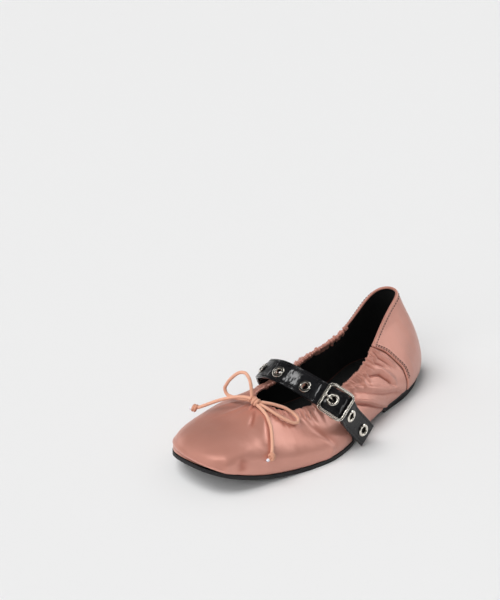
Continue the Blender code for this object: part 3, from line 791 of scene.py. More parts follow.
# distance along the strap from the buckle's centre, shift to the rear edge
EYELETS = (
    (-89.0, 0.0), (-67.5, -0.8), (-45.4, -1.6), (-23.4, -1.9), (-1.6, 0.0), (17.9, 0.0), (37.7, 0.0),
)
CHAPE_ROUTE = (
    (42.4, 1.6, 3.0, 5.0, -11.0), (43.3, 0.8, 8.0, 10.0, -11.0), (43.7, -1.6, 14.0, 18.0, -8.0),
    (43.4, -5.2, 20.0, 28.0, -4.0), (41.9, -9.8, 25.6, 36.0, 0.0),
)
CHAPE_IN_BUCKLE = (
    (9.6, -4.2), (6.6, -1.2), (4.5, 0.9), (3.3, 1.2), (2.0, 0.6), (1.6, -0.65), (2.0, -1.8),
    (3.2, -2.45), (5.0, -3.4), (6.6, -4.6), (7.8, -5.9),
)


def tilted_width(tangent, tilt, swing):
    tilt, swing = np.radians(tilt), np.radians(swing)
    across = np.stack(
        [np.sin(swing) * np.cos(tilt), np.cos(swing) * np.cos(tilt), np.sin(tilt)], axis=-1)
    return unit(across - np.sum(across * tangent, axis=-1, keepdims=True) * tangent)


def buckle_axes():
    along = unit(BUCKLE_ALONG)
    across = tilted_width(along, BAND_TILT, 0.0)
    return np.array(BUCKLE_CENTRE), along, across, np.cross(along, across)


def in_buckle(pairs):
    centre, along, _, off = buckle_axes()
    return [(*(centre + a * along + o * off), BAND_TILT, 0.0) for a, o in pairs]


def band_table(rows, count):
    """Rows of middle, tangent, width and outward directions along a strap."""
    points, places = smooth_line(rows, count)
    tangent = unit(np.gradient(points[:, :3], places, axis=0))
    across = tilted_width(tangent, points[:, 3], points[:, 4])
    return np.concatenate([points[:, :3], tangent, across, np.cross(tangent, across)], axis=1), places


def strap_table():
    rows = list(STRAP_MEDIAL) + in_buckle(STRAP_IN_BUCKLE) + list(STRAP_LATERAL)
    table, places = band_table(rows, 700)
    nearest = np.argmin(np.linalg.norm(table[:, :3] - np.array(BUCKLE_CENTRE), axis=1))
    return table, places, places[nearest]


def round_corners(corners, length, width, corner, steps):
    """Points and outward directions over a rounded rectangle's corners, as lists."""
    points, ways = [], []
    for cx, cy, start in corners:
        centre = np.array([cx * (length / 2 - corner), cy * (width / 2 - corner)])
        for degrees in np.linspace(start, start + 90, steps):
            way = np.array([math.cos(math.radians(degrees)), math.sin(math.radians(degrees))])
            points.append(centre + corner * way)
            ways.append(way)
    return points, ways


def walk_round(points, ways, a):
    """Evenly spaced places on a closed line, with its outward directions there."""
    walked = distances(points)
    place = a * walked[-1]
    return line_at(np.array(points), walked, place), unit(line_at(np.array(ways), walked, place))


def round_section(b, width, thick, corner):
    """Points and normals round a rounded rectangle, from the middle of its underside."""
    points, normals = round_corners(
        ((1, -1, -90), (1, 1, 0), (-1, 1, 90), (-1, -1, 180)), width, thick, corner, 7)
    start, down = [[0.0, -thick / 2]], [[0.0, -1.0]]
    return walk_round(start + points + start, down + normals + down, b)


def crumple(s, x, seed, size):
    """Facets of creased leather: many slanting folds laid over one another."""
    numbers = np.random.default_rng(seed).uniform(0, 1, (9, 4))
    total = np.zeros(len(s))
    for a, b, c, e in numbers:
        angle = np.pi * (a - 0.5)
        wave = size * (0.6 + 1.6 * b)
        total += (0.4 + 0.6 * e) * np.abs(np.sin(
            (s * np.cos(angle) + x * np.sin(angle)) / wave * np.pi + 6.28 * c))
    return total / 9.0 - 0.45


def make_band(name, columns, around, table, places, width, thick, corner, height):
    """A strap along a table's middle line, with closed ends; height adds its relief."""
    caps = 2.4 / columns

    def shape(a, b):
        spread = np.clip((a - caps) / (1 - 2 * caps), 0, 1)
        closed = np.clip(np.minimum(a, 1 - a) / caps, 0, 1)
        s = spread * places[-1]
        here = line_at(table, places, s)
        middle, across, off = here[:, :3], here[:, 6:9], here[:, 9:12]
        section, normals = round_section(b, width, thick, corner)
        x, z = section[:, 0], section[:, 1] * closed
        lift = height(s, x, normals[:, 1]) * closed
        points = middle + across * (x + lift * normals[:, 0])[:, None]
        points = points + off * (z + lift * normals[:, 1])[:, None]
        floor = sole_height(points[:, 1]) + ROOT_LIFT
        at_root = s < ROOT_LENGTH
        points[:, 2] = np.where(at_root, np.maximum(points[:, 2], floor), points[:, 2])
        return points, s, x
    return make_sheet(name, columns, around, shape, merge=0.01)


HOLE_RADIUS = 3.15
HOLE_DEPTH = 8.0
# height of the dark sheet along the buckle, over the strap's base line; the sheet is painted shade under
# the buckle's hole
SHADE_SHEET_RISE = (-2.4, -0.2, 0.4, -0.6)


def make_strap():
    table, places, centre = strap_table()

    def height(s, x, up):
        t = s - centre
        top = np.clip(up, 0, 1)
        rim = np.abs(x)
        groove = -0.16 * hill(rim, STRAP_WIDTH / 2 - STITCH_INSET, 0.42)
        pillow = 0.1 * np.clip((STRAP_WIDTH / 2 - 2.4 - rim) / 2.0, 0, 1)
        creased = np.interp(t, (-110, -98, -72, -66, -47, -42, -30, -12, -6, 12, 18),
                            (0.5, 0.9, 0.55, 1.0, 1.0, 0.55, 0.4, 0.5, 0.8, 0.7, 0.0))
        folds = crumple(s, x * 0.35, 31, 3.0) * 0.5 + crumple(s, x * 0.45, 32, 1.3) * 0.26
        soft = np.clip((STRAP_WIDTH / 2 - rim) / 2.5, 0.15, 1)
        under_bar = hill(t, -9.6, 2.2) + hill(t, 10.2, 3.0)
        free = 1 - np.clip(under_bar, 0, 1)
        return groove * np.abs(up) + top * (pillow + creased * folds * soft) * free

    strap = make_band("instep_strap", 430, 92, table, places,
                      width=STRAP_WIDTH, thick=STRAP_THICK, corner=0.5, height=height)
    cutters = []
    for distance, shift in EYELETS:
        matrix = eyelet_place(table, places, centre + distance, shift)
        deselect()
        bpy.ops.mesh.primitive_cylinder_add(vertices=40, radius=HOLE_RADIUS * MM, depth=HOLE_DEPTH * MM)
        cutter = bpy.context.object
        cutter.data.transform(matrix)
        cutters.append(cutter)
    cut_with(strap, join(cutters, "holes"))
    return strap


def cut_with(item, cutter):
    apply_modifier(item, "BOOLEAN", operation="DIFFERENCE", solver="EXACT", object=cutter)
    bpy.data.objects.remove(cutter, do_unlink=True)


def eyelet_place(table, places, distance, shift):
    here = line_at(table, places, np.array([distance]))[0]
    tangent = unit(here[3:6])
    across = unit(here[6:9] - np.dot(here[6:9], tangent) * tangent)
    return stand(here[:3] + across * shift, tangent, across, np.cross(tangent, across))


def rounded_block(size, corner, segments, place=(0, 0, 0)):
    """A block with rounded edges, in the buckle's own place."""
    deselect()
    bpy.ops.mesh.primitive_cube_add(size=1.0)
    block = bpy.context.object
    bpy.ops.object.mode_set(mode="EDIT")
    bpy.ops.transform.resize(value=tuple(length * MM for length in size), center_override=(0, 0, 0))
    bpy.ops.mesh.bevel(offset=corner * MM, segments=segments)
    bpy.ops.transform.translate(value=tuple(length * MM for length in place))
    bpy.ops.object.mode_set(mode="OBJECT")
    return block


def make_chape():
    table, places = band_table(list(CHAPE_ROUTE) + in_buckle(CHAPE_IN_BUCKLE), 500)

    def height(s, x, up):
        rim = np.abs(x)
        groove = -0.1 * hill(rim, CHAPE_WIDTH / 2 - STITCH_INSET, 0.4)
        soft = np.clip((CHAPE_WIDTH / 2 - rim) / 2.5, 0.1, 1) * np.clip((30 - s) / 8, 0, 1)
        return groove * np.abs(up) + np.clip(up, 0, 1) * soft * crumple(s, x, 33, 4.0) * 0.35

    chape = make_band("buckle_chape", 230, 72, table, places,
                      width=CHAPE_WIDTH, thick=CHAPE_THICK, corner=0.4, height=height)
    centre, along, across, off = buckle_axes()
    slot = rounded_block((6.6, 2.6, 9.0), corner=0.9, segments=4)
    slot.data.transform(stand(centre + along * 2.5 - off, along, across, off))
    cut_with(chape, slot)
    return chape


def make_shade_sheet():
    """A small dark leather sheet between the buckle's hole and the satin: painted shade, standing in for
    the shade seen through the hole.
    """
    centre, along, across, off = buckle_axes()

    def shape(a, b):
        turn = 2 * np.pi * b
        fade = np.sin(np.pi * np.clip(a, 0, 1) * 0.98 + 0.02) ** 0.25
        x = 6.2 * np.cos(turn) * fade
        thick = 0.45 * np.sin(turn) * fade
        y = -7.0 + 13.0 * a
        rise = np.interp(y, (-7.0, -2.4, 3.0, 6.0), SHADE_SHEET_RISE)
        points = centre + y[:, None] * along + x[:, None] * across + (rise + thick)[:, None] * off
        return points, x, y
    return make_sheet("buckle_shade_sheet", 60, 40, shape, merge=0.005)


def make_strap_stitches():
    table, places, _ = strap_table()
    made = []
    for side in (-1, 1):
        s = np.arange(14.0, places[-1] - 2.2, STRAP_STITCH_GAP)
        here = line_at(table, places, s)
        points = here[:, :3] + here[:, 6:9] * side * (STRAP_WIDTH / 2 - STITCH_INSET)
        points = points + here[:, 9:12] * (STRAP_THICK / 2 - 0.06)
        made.append(make_stitches("row", points, here[:, 3:6], unit(here[:, 9:12]),
                                  length=1.6, thick=0.42, tall=0.26))
    return join(made, "strap_stitches")


# Metal

def make_ring(name, count, around, shape):
    """A torus whose points are laid by shape: a round the ring, b round its section."""
    deselect()
    bpy.ops.mesh.primitive_torus_add(
        major_segments=count, minor_segments=around, major_radius=1.0, minor_radius=0.25)
    item = new_item(name)
    index = np.arange(count * around)
    points = shape((index // around) / count, (index % around) / around)
    place_points(item, points)
    face_outwards()
    bpy.ops.object.shade_smooth()
    return item


def section_at(outline, b, rounding=0.06):
    """Points on a closed section, evenly spaced, with its corners eased."""
    outline = np.array(outline + (outline[0],), dtype=float)
    walked = distances(outline)
    total = np.zeros((len(b), 2))
    for shift in (-rounding, -rounding / 2, 0, rounding / 2, rounding):
        place = np.mod(b + shift, 1.0) * walked[-1]
        total += line_at(outline, walked, place)
    return total / 5


# radius, height over the strap's middle
EYELET_SECTION = (
    (2.35, -1.8), (2.35, 1.6), (2.55, 1.95), (3.1, 2.28), (3.7, 2.2), (4.25, 1.9), (4.6, 1.5),
    (4.55, 1.3), (2.9, 1.25), (2.9, -1.35), (3.1, -1.4), (3.0, -1.8),
)
# outwards from the bar's middle line, height over the strap's base line
FRAME_SECTION = (
    (-1.15, 1.65), (-1.15, 3.5), (-1.0, 4.05), (-0.6, 4.3), (-0.15, 4.15), (0.12, 3.7), (0.25, 3.15),
    (0.4, 3.2), (0.75, 3.35), (1.05, 3.1), (1.18, 2.6), (1.1, 2.1), (0.9, 1.65),
)
FRAME_LENGTH = 21.0
FRAME_WIDTH = 22.4
FRAME_BAR = 2.2
FRAME_CORNER = 4.5
BAR_RADIUS = 0.9
BAR_ALONG = 3.4
BAR_OFF = -0.65
EAR_SIZE = (2.4, 1.5, 4.0)
ROPE_RIBS = 72


def make_eyelets():
    table, places, centre = strap_table()

    def shape(a, b):
        section = section_at(EYELET_SECTION, b, 0.02)
        angle = 2 * np.pi * a
        radius, rise = section[:, 0], section[:, 1]
        return np.stack([radius * np.cos(angle), radius * np.sin(angle), rise], axis=1)
    one = make_ring("eyelet_start", 56, 30, shape)
    made = []
    for k, (distance, shift) in enumerate(EYELETS):
        ring = copy_to(one, eyelet_place(table, places, centre + distance, shift))
        ring.name = ring.data.name = "eyelet_ring_%d" % (k + 1)
        made.append(ring)
    bpy.data.objects.remove(one, do_unlink=True)
    return made


def rounded_path(a, length, width, corner):
    """Points and outward directions round a rounded rectangle, evenly spaced."""
    points, ways = round_corners(
        ((1, 1, 0), (-1, 1, 90), (-1, -1, 180), (1, -1, 270)), length, width, corner, 13)
    return walk_round(points + points[:1], ways + ways[:1], a)


def make_frame():
    """The square frame: a smooth inner ridge and a roped outer edge, its bar and its ears."""
    centre, along, across, off = buckle_axes()

    def shape(a, b):
        path, ways = rounded_path(
            a, FRAME_LENGTH - FRAME_BAR, FRAME_WIDTH - FRAME_BAR, FRAME_CORNER - FRAME_BAR / 2)
        section = section_at(FRAME_SECTION, b, 0.012)
        roped = np.clip((section[:, 0] - 0.15) / 0.25, 0, 1) * np.clip((section[:, 1] - 1.8) / 0.5, 0, 1)
        rope = 0.14 * np.sin(2 * np.pi * ROPE_RIBS * a + 2.2 * section[:, 0] - 1.4 * section[:, 1]) * roped
        flat = path + ways * (section[:, 0] + rope * 0.5)[:, None]
        rise = section[:, 1] + rope * 0.8
        points = centre + flat[:, :1] * along + flat[:, 1:] * across + rise[:, None] * off
        return points, 80 * a, 9 * b
    ring = make_sheet("buckle_ring", 480, 34, shape, merge=0.005)
    face_outwards()
    side = FRAME_WIDTH / 2 - FRAME_BAR / 2
    deselect()
    bpy.ops.mesh.primitive_cylinder_add(
        vertices=24, radius=BAR_RADIUS * MM, depth=2 * side * MM, location=(0, 0, 0))
    bar = bpy.context.object
    bpy.ops.object.mode_set(mode="EDIT")
    bpy.ops.transform.rotate(value=math.pi / 2, orient_axis="X", center_override=(0, 0, 0))
    bpy.ops.transform.translate(value=(BAR_ALONG * MM, 0, BAR_OFF * MM))
    bpy.ops.object.mode_set(mode="OBJECT")
    ears = [rounded_block(EAR_SIZE, corner=0.35, segments=3, place=(BAR_ALONG, sign * side, 0.3))
            for sign in (-1, 1)]
    fitting = join([bar] + ears, "fitting")
    fitting.data.transform(stand(centre, along, across, off))
    return join([ring, fitting], "buckle_ring")


PRONG_RADIUS = 0.6
PRONG_HOOK = (-10.0, -60.0, -110.0, -150.0, -180.0)
PRONG_TAIL = (
    (0.6, -0.35), (-0.7, 0.5), (-1.9, 2.0), (-3.0, 3.5), (-4.4, 4.6), (-6.4, 5.1), (-8.6, 5.15),
    (-10.3, 5.1),
)


def make_prong():
    reach = BAR_RADIUS + 0.3 + PRONG_RADIUS
    pairs = []
    for degrees in PRONG_HOOK:
        angle = math.radians(degrees)
        pairs.append((BAR_ALONG + reach * math.cos(angle), BAR_OFF + reach * math.sin(angle)))
    rows = [row[:3] for row in in_buckle(pairs + list(PRONG_TAIL))]

    def radius(s, angle, length):
        tip = np.clip((length - s) / 5.0, 0, 1)
        return PRONG_RADIUS * (0.72 + 0.28 * tip) * (1 + 0.05 * np.cos(2 * angle))
    return make_tube("buckle_tongue", rows, 150, 20, radius)[0]


# Cord

CORD_RADIUS = 1.2
KNOT_CENTRE = (0.8, -61.0, 42.4)
LOOP_MEDIAL = (
    (-0.9, -60.9, 43.4), (-1.7, -60.9, 44.6), (-1.95, -60.9, 46.6), (-2.4, -60.8, 50.5),
    (-3.1, -60.8, 54.5), (-4.8, -60.7, 58.4),
    (-7.9, -60.5, 60.7), (-11.4, -60.3, 60.2), (-16.0, -60.0, 57.5), (-20.0, -59.8, 53.6),
    (-25.2, -59.4, 47.0), (-27.5, -59.4, 41.2), (-25.8, -59.4, 38.3), (-20.7, -59.7, 38.0),
    (-15.0, -60.0, 38.8), (-9.0, -60.3, 40.3), (-6.0, -60.4, 41.0), (-3.4, -60.6, 41.3),
)
LOOP_LATERAL = (
    (2.6, -59.6, 41.9), (4.5, -57.9, 41.8), (6.8, -55.4, 41.1), (9.1, -52.6, 40.1),
    (11.8, -49.2, 38.4), (15.1, -46.0, 36.6), (18.1, -43.8, 34.4), (21.3, -42.6, 32.2),
    (24.4, -42.8, 30.2), (26.2, -44.9, 29.3), (25.9, -48.2, 29.7), (23.8, -51.1, 31.2),
    (21.2, -53.4, 33.1), (17.9, -55.7, 35.4), (14.6, -57.3, 37.3), (10.6, -58.6, 39.2),
    (7.2, -59.5, 40.5), (4.4, -60.4, 41.5),
)
TAIL_MEDIAL = (
    (-1.2, -62.2, 44.2), (-3.4, -62.7, 44.4), (-7.3, -64.2, 44.3), (-13.8, -66.7, 42.7),
    (-20.2, -69.2, 40.0), (-26.8, -71.7, 36.4), (-33.3, -74.2, 32.4), (-36.9, -75.5, 30.3),
    (-38.6, -76.2, 29.6),
)
TAIL_LATERAL = (
    (3.6, -62.0, 41.4), (7.2, -62.0, 39.8), (13.0, -63.3, 37.6), (18.0, -65.9, 35.3),
    (21.6, -68.3, 33.3), (25.2, -71.5, 30.9), (29.2, -75.6, 27.1), (32.0, -78.9, 23.5),
    (33.3, -80.7, 21.8),
)
TAIL_KNOTS = (
    ("medial", (-39.9, -76.7, 29.1), (-42.8, -77.9, 28.4)),
    ("lateral", (34.2, -82.0, 20.7), (33.4, -85.4, 18.9)),
)
CORD_STEP = 0.00032    # from ring to ring of a cord's mesh, in metres
CORD_LENGTHS = {
    "loop_medial": 0.075, "loop_lateral": 0.066, "tail_medial": 0.043, "tail_lateral": 0.042}


def line_frames(points):
    """Directions along and beside a line that doesn't twist."""
    ahead = unit(np.gradient(points, axis=0))
    first = np.cross(ahead[0], (0.0, 0.0, 1.0))
    if np.linalg.norm(first) < 0.1:
        first = np.cross(ahead[0], (1.0, 0.0, 0.0))
    sides = [unit(first)]
    for way in ahead[1:]:
        sides.append(unit(sides[-1] - np.dot(sides[-1], way) * way))
    sides = np.array(sides)
    return ahead, sides, np.cross(ahead, sides)


def make_tube(name, rows, columns, around, radius, masks=()):
    """A closed round tube along rows; radius gives its size from place and angle."""
    line, places = smooth_line([row[:3] for row in rows], columns * 2 + 1)
    _, side, up = line_frames(line)
    table = np.concatenate([line, side, up], axis=1)
    length = places[-1]

    def shape(a, b):
        caps = 2.2 / columns
        s = length * np.clip((a - caps) / (1 - 2 * caps), 0, 1)
        closed = np.sqrt(np.clip(np.minimum(a, 1 - a) / caps, 0, 1))
        here = line_at(table, places, s)
        angle = 2 * np.pi * b
        size = radius(s, angle, length)
        r = size * closed
        points = here[:, :3] + here[:, 3:6] * (r * np.cos(angle))[:, None]
        points = points + here[:, 6:9] * (r * np.sin(angle))[:, None]
        # the last value is a mask of the grooves between the cord's ribs, used for painted shade there
        return points, s, 2 * np.pi * CORD_RADIUS * b, np.clip((CORD_RADIUS - size) / 0.12, 0, 1)
    item = make_sheet(name, columns, around, shape, flip=True, merge=0.004, masks=masks)
    return item, (line + SHIFT) * MM


def ribbed(size):
    """The slanting ribs of an elastic cord's cover."""
    def radius(s, angle, length):
        lean = 2 * np.pi * s / 8.6
        one = np.abs(np.cos(3.5 * (angle + lean)))
        return size * (1.0 - 0.11 * (1 - one) ** 1.3)
    return radius


def wrap_line(centre, axis, radius, turns, pitch, start):
    """Points of a cord wound round a short axis."""
    axis = unit(axis)
    side = unit(np.cross(axis, (0.0, 0.0, 1.0)))
    up = np.cross(side, axis)
    points = []
    for t in np.linspace(0.0, turns, int(turns * 16) + 1):
        angle = start + 2 * np.pi * t
        points.append(tuple(
            np.array(centre) + axis * pitch * (t - turns / 2)
            + side * radius * np.cos(angle) + up * radius * np.sin(angle)))
    return points


def ribbed_tube(name, rows, columns, around, size):
    return make_tube(name, rows, columns, around, ribbed(size), ("groove",))


def make_bow():
    made = {}
    for name, rows in (("loop_medial", LOOP_MEDIAL), ("loop_lateral", LOOP_LATERAL),
                       ("tail_medial", TAIL_MEDIAL), ("tail_lateral", TAIL_LATERAL)):
        columns = int(CORD_LENGTHS[name] / CORD_STEP)
        made[name] = ribbed_tube("cord_" + name, rows, columns, 28, CORD_RADIUS)
        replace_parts(made[name][0], "bow_" + name)
    centre = np.array(KNOT_CENTRE)
    wound = wrap_line(centre + (0.3, 0, 0.1), (0.93, 0.2, -0.3),
                      radius=1.95, turns=2.1, pitch=2.15, start=1.9)
    core = (centre + (-3.0, -0.3, 0.8), centre, centre + (3.0, 0.4, -0.8))
    knot = join([ribbed_tube("wrap", wound, columns=150, around=28, size=1.15)[0],
                 ribbed_tube("core", core, columns=24, around=20, size=1.3)[0]], "cord_bow_knot")
    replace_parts(knot, "bow_knot")
    ends = {}
    for tag, place, tip in TAIL_KNOTS:
        place, tip = np.array(place), np.array(tip)
        axis = unit(tip - place)
        wound = wrap_line(place, axis + (0.35, 0.15, 0.3),
                          radius=1.75, turns=1.75, pitch=1.5, start=0.6)
        through = (place - axis * 2.4, place, place + axis * 2.6)
        end = join([ribbed_tube("wrap", wound, columns=140, around=24, size=1.1)[0],
                    ribbed_tube("through", through, columns=40, around=24, size=1.05)[0]],
                   "cord_tail_knot_" + tag)
        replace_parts(end, "tail_knot_" + tag)
        cut_end = make_tube(
            "cord_tip_" + tag, (tip - axis * 1.3, tip - axis * 0.4, tip + axis * 0.5),
            columns=14, around=20, radius=lambda s, angle, length: 1.12 - 0.05 * s)[0]
        ends[tag] = (end, cut_end)
    return made, knot, ends


# Materials

def set_inputs(node, values):
    for key, value in values.items():
        node.inputs[key.replace("_", " ")].default_value = value
    return node


def new_group(name, inputs, outputs):
    group = bpy.data.node_groups.new(name, "ShaderNodeTree")
    for label, value in inputs:
        socket = group.interface.new_socket(name=label, in_out="INPUT", socket_type="NodeSocketFloat")
        socket.default_value = value
    for label in outputs:
        group.interface.new_socket(name=label, in_out="OUTPUT", socket_type="NodeSocketFloat")
    return group, group.nodes.new("NodeGroupInput"), group.nodes.new("NodeGroupOutput")


def maths(group, operation, *sources):
    node = group.nodes.new("ShaderNodeMath")
    node.operation = operation
    for k, source in enumerate(sources):
        group.links.new(source, node.inputs[k])
    return node.outputs[0]


def weave_group():
    """Crossing threads on the cloth map: their height, and a mask of their gaps."""
    group, given, result = new_group(
        "woven_threads", (("Threads", 2500.0), ("Cross", 0.5)), ("Height", "Gap"))
    nodes, links = group.nodes, group.links
    split = nodes.new("ShaderNodeSeparateXYZ")
    links.new(nodes.new("ShaderNodeUVMap").outputs["UV"], split.inputs[0])
    along, across = [
        maths(group, "SINE", maths(group, "MULTIPLY", split.outputs[axis], given.outputs["Threads"]))
        for axis in ("X", "Y")]
    both = maths(group, "ADD", along, maths(group, "MULTIPLY", across, given.outputs["Cross"]))
    gap = set_inputs(nodes.new("ShaderNodeMapRange"), {"From Min": 0.2, "From Max": -1.3})
    links.new(both, gap.inputs["Value"])
    links.new(both, result.inputs["Height"])
    links.new(gap.outputs["Result"], result.inputs["Gap"])
    return group


def cloud_group():
    """Slow and fast unevenness over a piece, from its own place in space."""
    group, given, result = new_group(
        "unevenness", (("Scale", 40.0), ("Fine Scale", 400.0)), ("Slow", "Fine"))
    nodes, links = group.nodes, group.links
    place = nodes.new("ShaderNodeTexCoord")
    for label, source in (("Slow", "Scale"), ("Fine", "Fine Scale")):
        noise = set_inputs(nodes.new("ShaderNodeTexNoise"), {"Detail": 3.0, "Roughness": 0.55})
        links.new(place.outputs["Object"], noise.inputs["Vector"])
        links.new(given.outputs[source], noise.inputs["Scale"])
        links.new(noise.outputs["Fac"], result.inputs[label])
    return group


WEAVE = weave_group()
CLOUD = cloud_group()


class Finish:
    """A material in the making: its shader and the nodes that feed it."""

    def __init__(self, name, scale, fine_scale, **values):
        deselect()
        self.material = bpy.data.materials.new(name)
        self.material.use_nodes = True
        self.nodes = self.material.node_tree.nodes
        self.links = self.material.node_tree.links
        self.shader = set_inputs(self.nodes["Principled BSDF"], values)
        self.clouds = self.group(CLOUD, Scale=scale, Fine_Scale=fine_scale)

    def group(self, group, **values):
        node = self.nodes.new("ShaderNodeGroup")
        node.node_tree = group
        return set_inputs(node, values).outputs

    def mask(self, name):
        """A value that the mesh carries for each of its points."""
        node = self.nodes.new("ShaderNodeAttribute")
        node.attribute_name = name
        return node.outputs["Fac"]

    def mapped(self, source, low, high, to_low, to_high):
        node = set_inputs(self.nodes.new("ShaderNodeMapRange"), {
            "From Min": low, "From Max": high, "To Min": to_low, "To Max": to_high})
        self.links.new(source, node.inputs["Value"])
        return node.outputs["Result"]

    def mixed(self, mask, low, high):
        """A colour between low and high by a mask."""
        node = self.nodes.new("ShaderNodeMix")
        node.data_type = "RGBA"
        for socket, value in ((6, low), (7, high)):
            if isinstance(value, tuple):
                node.inputs[socket].default_value = (*value, 1.0)
            else:
                self.links.new(value, node.inputs[socket])
        self.links.new(mask, node.inputs[0])
        return node.outputs[2]

    def uneven(self, dark, light):
        return self.mixed(self.mapped(self.clouds["Slow"], 0.3, 0.7, 0.0, 1.0), dark, light)

    def done(self, colour, roughness, heights):
        """Feed the shader; heights are pairs of a height and its depth in metres."""
        self.links.new(colour, self.shader.inputs["Base Color"])
        source, *values = roughness
        self.links.new(self.mapped(self.clouds[source], *values), self.shader.inputs["Roughness"])
        normal = None
        for height, distance in heights:
            bump = set_inputs(
                self.nodes.new("ShaderNodeBump"), {"Strength": 1.0, "Distance": distance})
            self.links.new(height, bump.inputs["Height"])
            if normal is not None:
                self.links.new(normal, bump.inputs["Normal"])
            normal = bump.outputs["Normal"]
        self.links.new(normal, self.shader.inputs["Normal"])
        return self.material


def satin_material():
    satin = Finish("rose_satin", 28.0, 900.0, Metallic=0.38, IOR=1.6, Specular_IOR_Level=0.8,
                   Sheen_Weight=0.3, Sheen_Roughness=0.4, Sheen_Tint=(1.0, 0.79, 0.73, 1.0),
                   Anisotropic=0.45)
    threads = satin.group(WEAVE, Threads=21000.0, Cross=0.35)
    body = satin.uneven((0.60, 0.262, 0.196), (0.67, 0.30, 0.23))
    # painted shade: the satin's colour goes towards a deep red where the satin sinks, in its creases and
    # pleats
    crease_shade_amount = satin.mapped(satin.mask("crease_shade"), 0.3, 0.85, 0.0, 0.85)
    deep = satin.mixed(crease_shade_amount, body, (0.42, 0.12, 0.075))
    # painted shade: the colour goes a little darker in the gaps between the woven threads
    gap_shade = satin.mapped(threads["Gap"], 0, 1, 0, 0.12)
    return satin.done(satin.mixed(gap_shade, deep, (0.30, 0.12, 0.09)), ("Slow", 0.2, 0.8, 0.30, 0.40), (
        (satin.clouds["Slow"], 0.0016), (satin.clouds["Fine"], 0.00005), (threads["Height"], 0.000006)))


def lining_material(name, dark, light):
    cloth = Finish(name, 60.0, 1500.0, Specular_IOR_Level=0.15, Sheen_Weight=0.05,
                   Sheen_Roughness=0.6)
    threads = cloth.group(WEAVE, Threads=9000.0, Cross=1.0)
    return cloth.done(cloth.uneven(dark, light), ("Fine", 0.3, 0.7, 0.8, 0.95), (
        (cloth.clouds["Fine"], 0.0001), (threads["Height"], 0.00004)))


def leather_material(name, roughness, coat):
    leather = Finish(name, 260.0, 1800.0, Specular_IOR_Level=0.1, Coat_Weight=coat,
                     Coat_Roughness=0.11, IOR=1.5)
    place = leather.nodes.new("ShaderNodeTexCoord")
    cells = set_inputs(leather.nodes.new("ShaderNodeTexVoronoi"), {"Scale": 1400.0})
    cells.feature = "DISTANCE_TO_EDGE"
    leather.links.new(place.outputs["Object"], cells.inputs["Vector"])
    grain = leather.mapped(cells.outputs["Distance"], 0.0, 0.12, 0.0, 1.0)
    return leather.done(
        leather.uneven((0.004, 0.004, 0.005), (0.009, 0.009, 0.01)),
        ("Slow", 0.3, 0.7, roughness, roughness + 0.14),
        ((leather.clouds["Slow"], 0.0003), (leather.clouds["Fine"], 0.00006), (grain, 0.00002)))


def rubber_material():
    rubber = Finish("black_rubber", 90.0, 1600.0, Specular_IOR_Level=0.4, IOR=1.5)
    return rubber.done(rubber.uneven((0.006, 0.006, 0.007), (0.012, 0.012, 0.013)),
                       ("Fine", 0.3, 0.7, 0.5, 0.68), ((rubber.clouds["Fine"], 0.00012),))


def metal_material():
    metal = Finish("polished_nickel", 220.0, 2600.0, Metallic=1.0)
    return metal.done(metal.uneven((0.74, 0.70, 0.62), (0.84, 0.81, 0.74)),
                      ("Fine", 0.3, 0.7, 0.13, 0.22), ((metal.clouds["Fine"], 0.00002),))


def cord_material(name, light, dark, roughness):
    cord = Finish(name, 300.0, 3000.0, Specular_IOR_Level=0.3, Sheen_Weight=0.3,
                  Sheen_Roughness=0.5, Sheen_Tint=(1.0, 0.86, 0.78, 1.0))
    body = cord.mixed(cord.mapped(cord.clouds["Fine"], 0.3, 0.7, 0, 0.3), light, dark)
    # painted shade: the cord's colour goes towards dark in the grooves between its ribs
    colour = cord.mixed(cord.mapped(cord.mask("groove"), 0.2, 1.0, 0, 0.75), body, dark)
    return cord.done(colour, ("Slow", 0.3, 0.7, roughness, roughness + 0.12),
                     ((cord.clouds["Fine"], 0.00008),))


def floor_material():
    material = bpy.data.materials.new("pale_floor")
    material.use_nodes = True
    set_inputs(material.node_tree.nodes["Principled BSDF"], {
        "Roughness": 0.95, "Specular IOR Level": 0.1, "Base Color": (0.83, 0.83, 0.83, 1.0)})
    return material


# Light and floor

FLOOR_SIZE = 12.0
WORLD_LIGHT = 0.28
ROOM_IN_GLOSS = 0.06    # the room as polished things show it
# soft suns for the matt side of things: name, direction they shine along, angle, strength
SUNS = (
    ("sky", (0.2, 0.42, -1.0), 40.0, 1.8),
    ("front", (-0.25, 0.85, -0.45), 45.0, 1.2),
    ("left", (0.8, 0.5, -0.6), 60.0, 0.35),
)
# cards that gloss shows: name, place, where it points, size, power
CARDS = (
    ("top_card", (0.23, -0.46, 1.22), (0.0, 0.0, 0.04), (0.14, 0.22), 1.5),
    ("back_card", (0.33, 1.1, 0.92), (0.02, 0.05, 0.04), (1.2, 0.8), 8.0),
    ("heel_card", (0.8, 1.1, 0.36), (0.01, 0.08, 0.04), (0.55, 0.34), 1.9),
    ("right_card", (1.3, 0.3, 0.22), (0.04, 0.0, 0.04), (0.12, 0.5), 0.9),
    ("left_card", (-1.3, -0.05, 0.4), (0.0, 0.0, 0.03), (0.8, 0.2), 1.1),
)


def add_light(kind, name, place, way, power):
    bpy.ops.object.light_add(type=kind, location=place)
    light = bpy.context.object
    light.name = name
    light.data.energy = power
    light.rotation_euler = way.to_track_quat("-Z", "Y").to_euler()
    return light


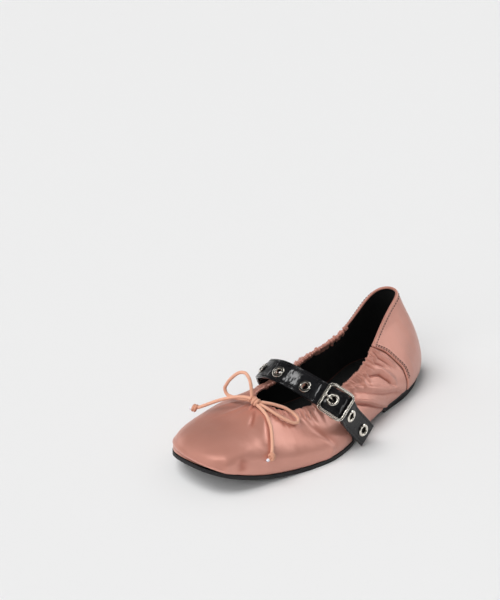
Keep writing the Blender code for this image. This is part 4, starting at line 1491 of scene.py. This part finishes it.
def add_stage():
    deselect()
    bpy.ops.mesh.primitive_grid_add(x_subdivisions=8, y_subdivisions=8, size=FLOOR_SIZE)
    floor = new_item("floor")
    floor.data.materials.append(floor_material())
    world = bpy.data.worlds.new("studio")
    bpy.context.scene.world = world
    world.use_nodes = True
    nodes, links = world.node_tree.nodes, world.node_tree.links
    background = set_inputs(nodes["Background"], {"Color": (1.0, 1.0, 1.0, 1.0)})
    level = set_inputs(nodes.new("ShaderNodeMapRange"), {
        "To Min": WORLD_LIGHT, "To Max": ROOM_IN_GLOSS})
    links.new(nodes.new("ShaderNodeLightPath").outputs["Is Glossy Ray"], level.inputs["Value"])
    links.new(level.outputs["Result"], background.inputs["Strength"])
    for name, way, angle, strength in SUNS:
        sun = add_light("SUN", name, tuple(-Vector(way)), Vector(way), strength)
        sun.data.angle = math.radians(angle)
        sun.visible_glossy = False
    for name, place, target, size, power in CARDS:
        card = add_light("AREA", name, place, Vector(target) - Vector(place), power)
        card.data.shape = "RECTANGLE"
        card.data.size, card.data.size_y = size
        card.visible_diffuse = False
    bpy.context.scene.view_settings.view_transform = "Standard"


# The shoe

add_camera()
satin = satin_material()
black_cloth = lining_material("black_lining", (0.0015, 0.0015, 0.0015), (0.003, 0.003, 0.003))
reddish = lining_material("reddish_edge", (0.05, 0.012, 0.008), (0.07, 0.018, 0.012))
patent = leather_material("crinkled_leather", 0.24, 0.55)
thread = lining_material("dark_thread", (0.014, 0.012, 0.012), (0.03, 0.027, 0.027))
rubber = rubber_material()
nickel = metal_material()
elastic = cord_material("peach_elastic", (0.80, 0.44, 0.31), (0.55, 0.25, 0.16), 0.6)
cut_white = cord_material("cut_end", (0.8, 0.8, 0.86), (0.6, 0.6, 0.66), 0.5)

cords, knot, ends = make_bow()
for item, _ in cords.values():
    finish_piece(item, elastic)
finish_piece(knot, elastic)
for end, cut_end in ends.values():
    finish_piece(end, elastic)
    finish_piece(cut_end, cut_white)

upper = finish_piece(make_shell(), satin)
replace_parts(upper, "upper")
finish_piece(make_counter(), satin)
finish_piece(make_lining(), black_cloth)
finish_piece(make_counter_stitches(), thread)

outsole, heel, sock = make_sole()
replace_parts(finish_piece(outsole, rubber, 40), "outsole")
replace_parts(finish_piece(heel, rubber, 40), "heel")
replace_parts(finish_piece(sock, black_cloth, 40), "insole")
finish_piece(make_sock_edge(), reddish)

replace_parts(finish_piece(make_strap(), patent), "strap")
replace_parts(finish_piece(make_chape(), patent), "buckle_strap")
# painted shade: a dark sheet under the buckle's hole
finish_piece(make_shade_sheet(), patent)
finish_piece(make_strap_stitches(), thread)
for number, ring in enumerate(make_eyelets()):
    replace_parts(finish_piece(ring, nickel), "eyelet_%d" % (number + 1))
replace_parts(finish_piece(make_frame(), nickel, 40), "buckle_frame")
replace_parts(finish_piece(make_prong(), nickel), "buckle_prong")

add_stage()
deselect()
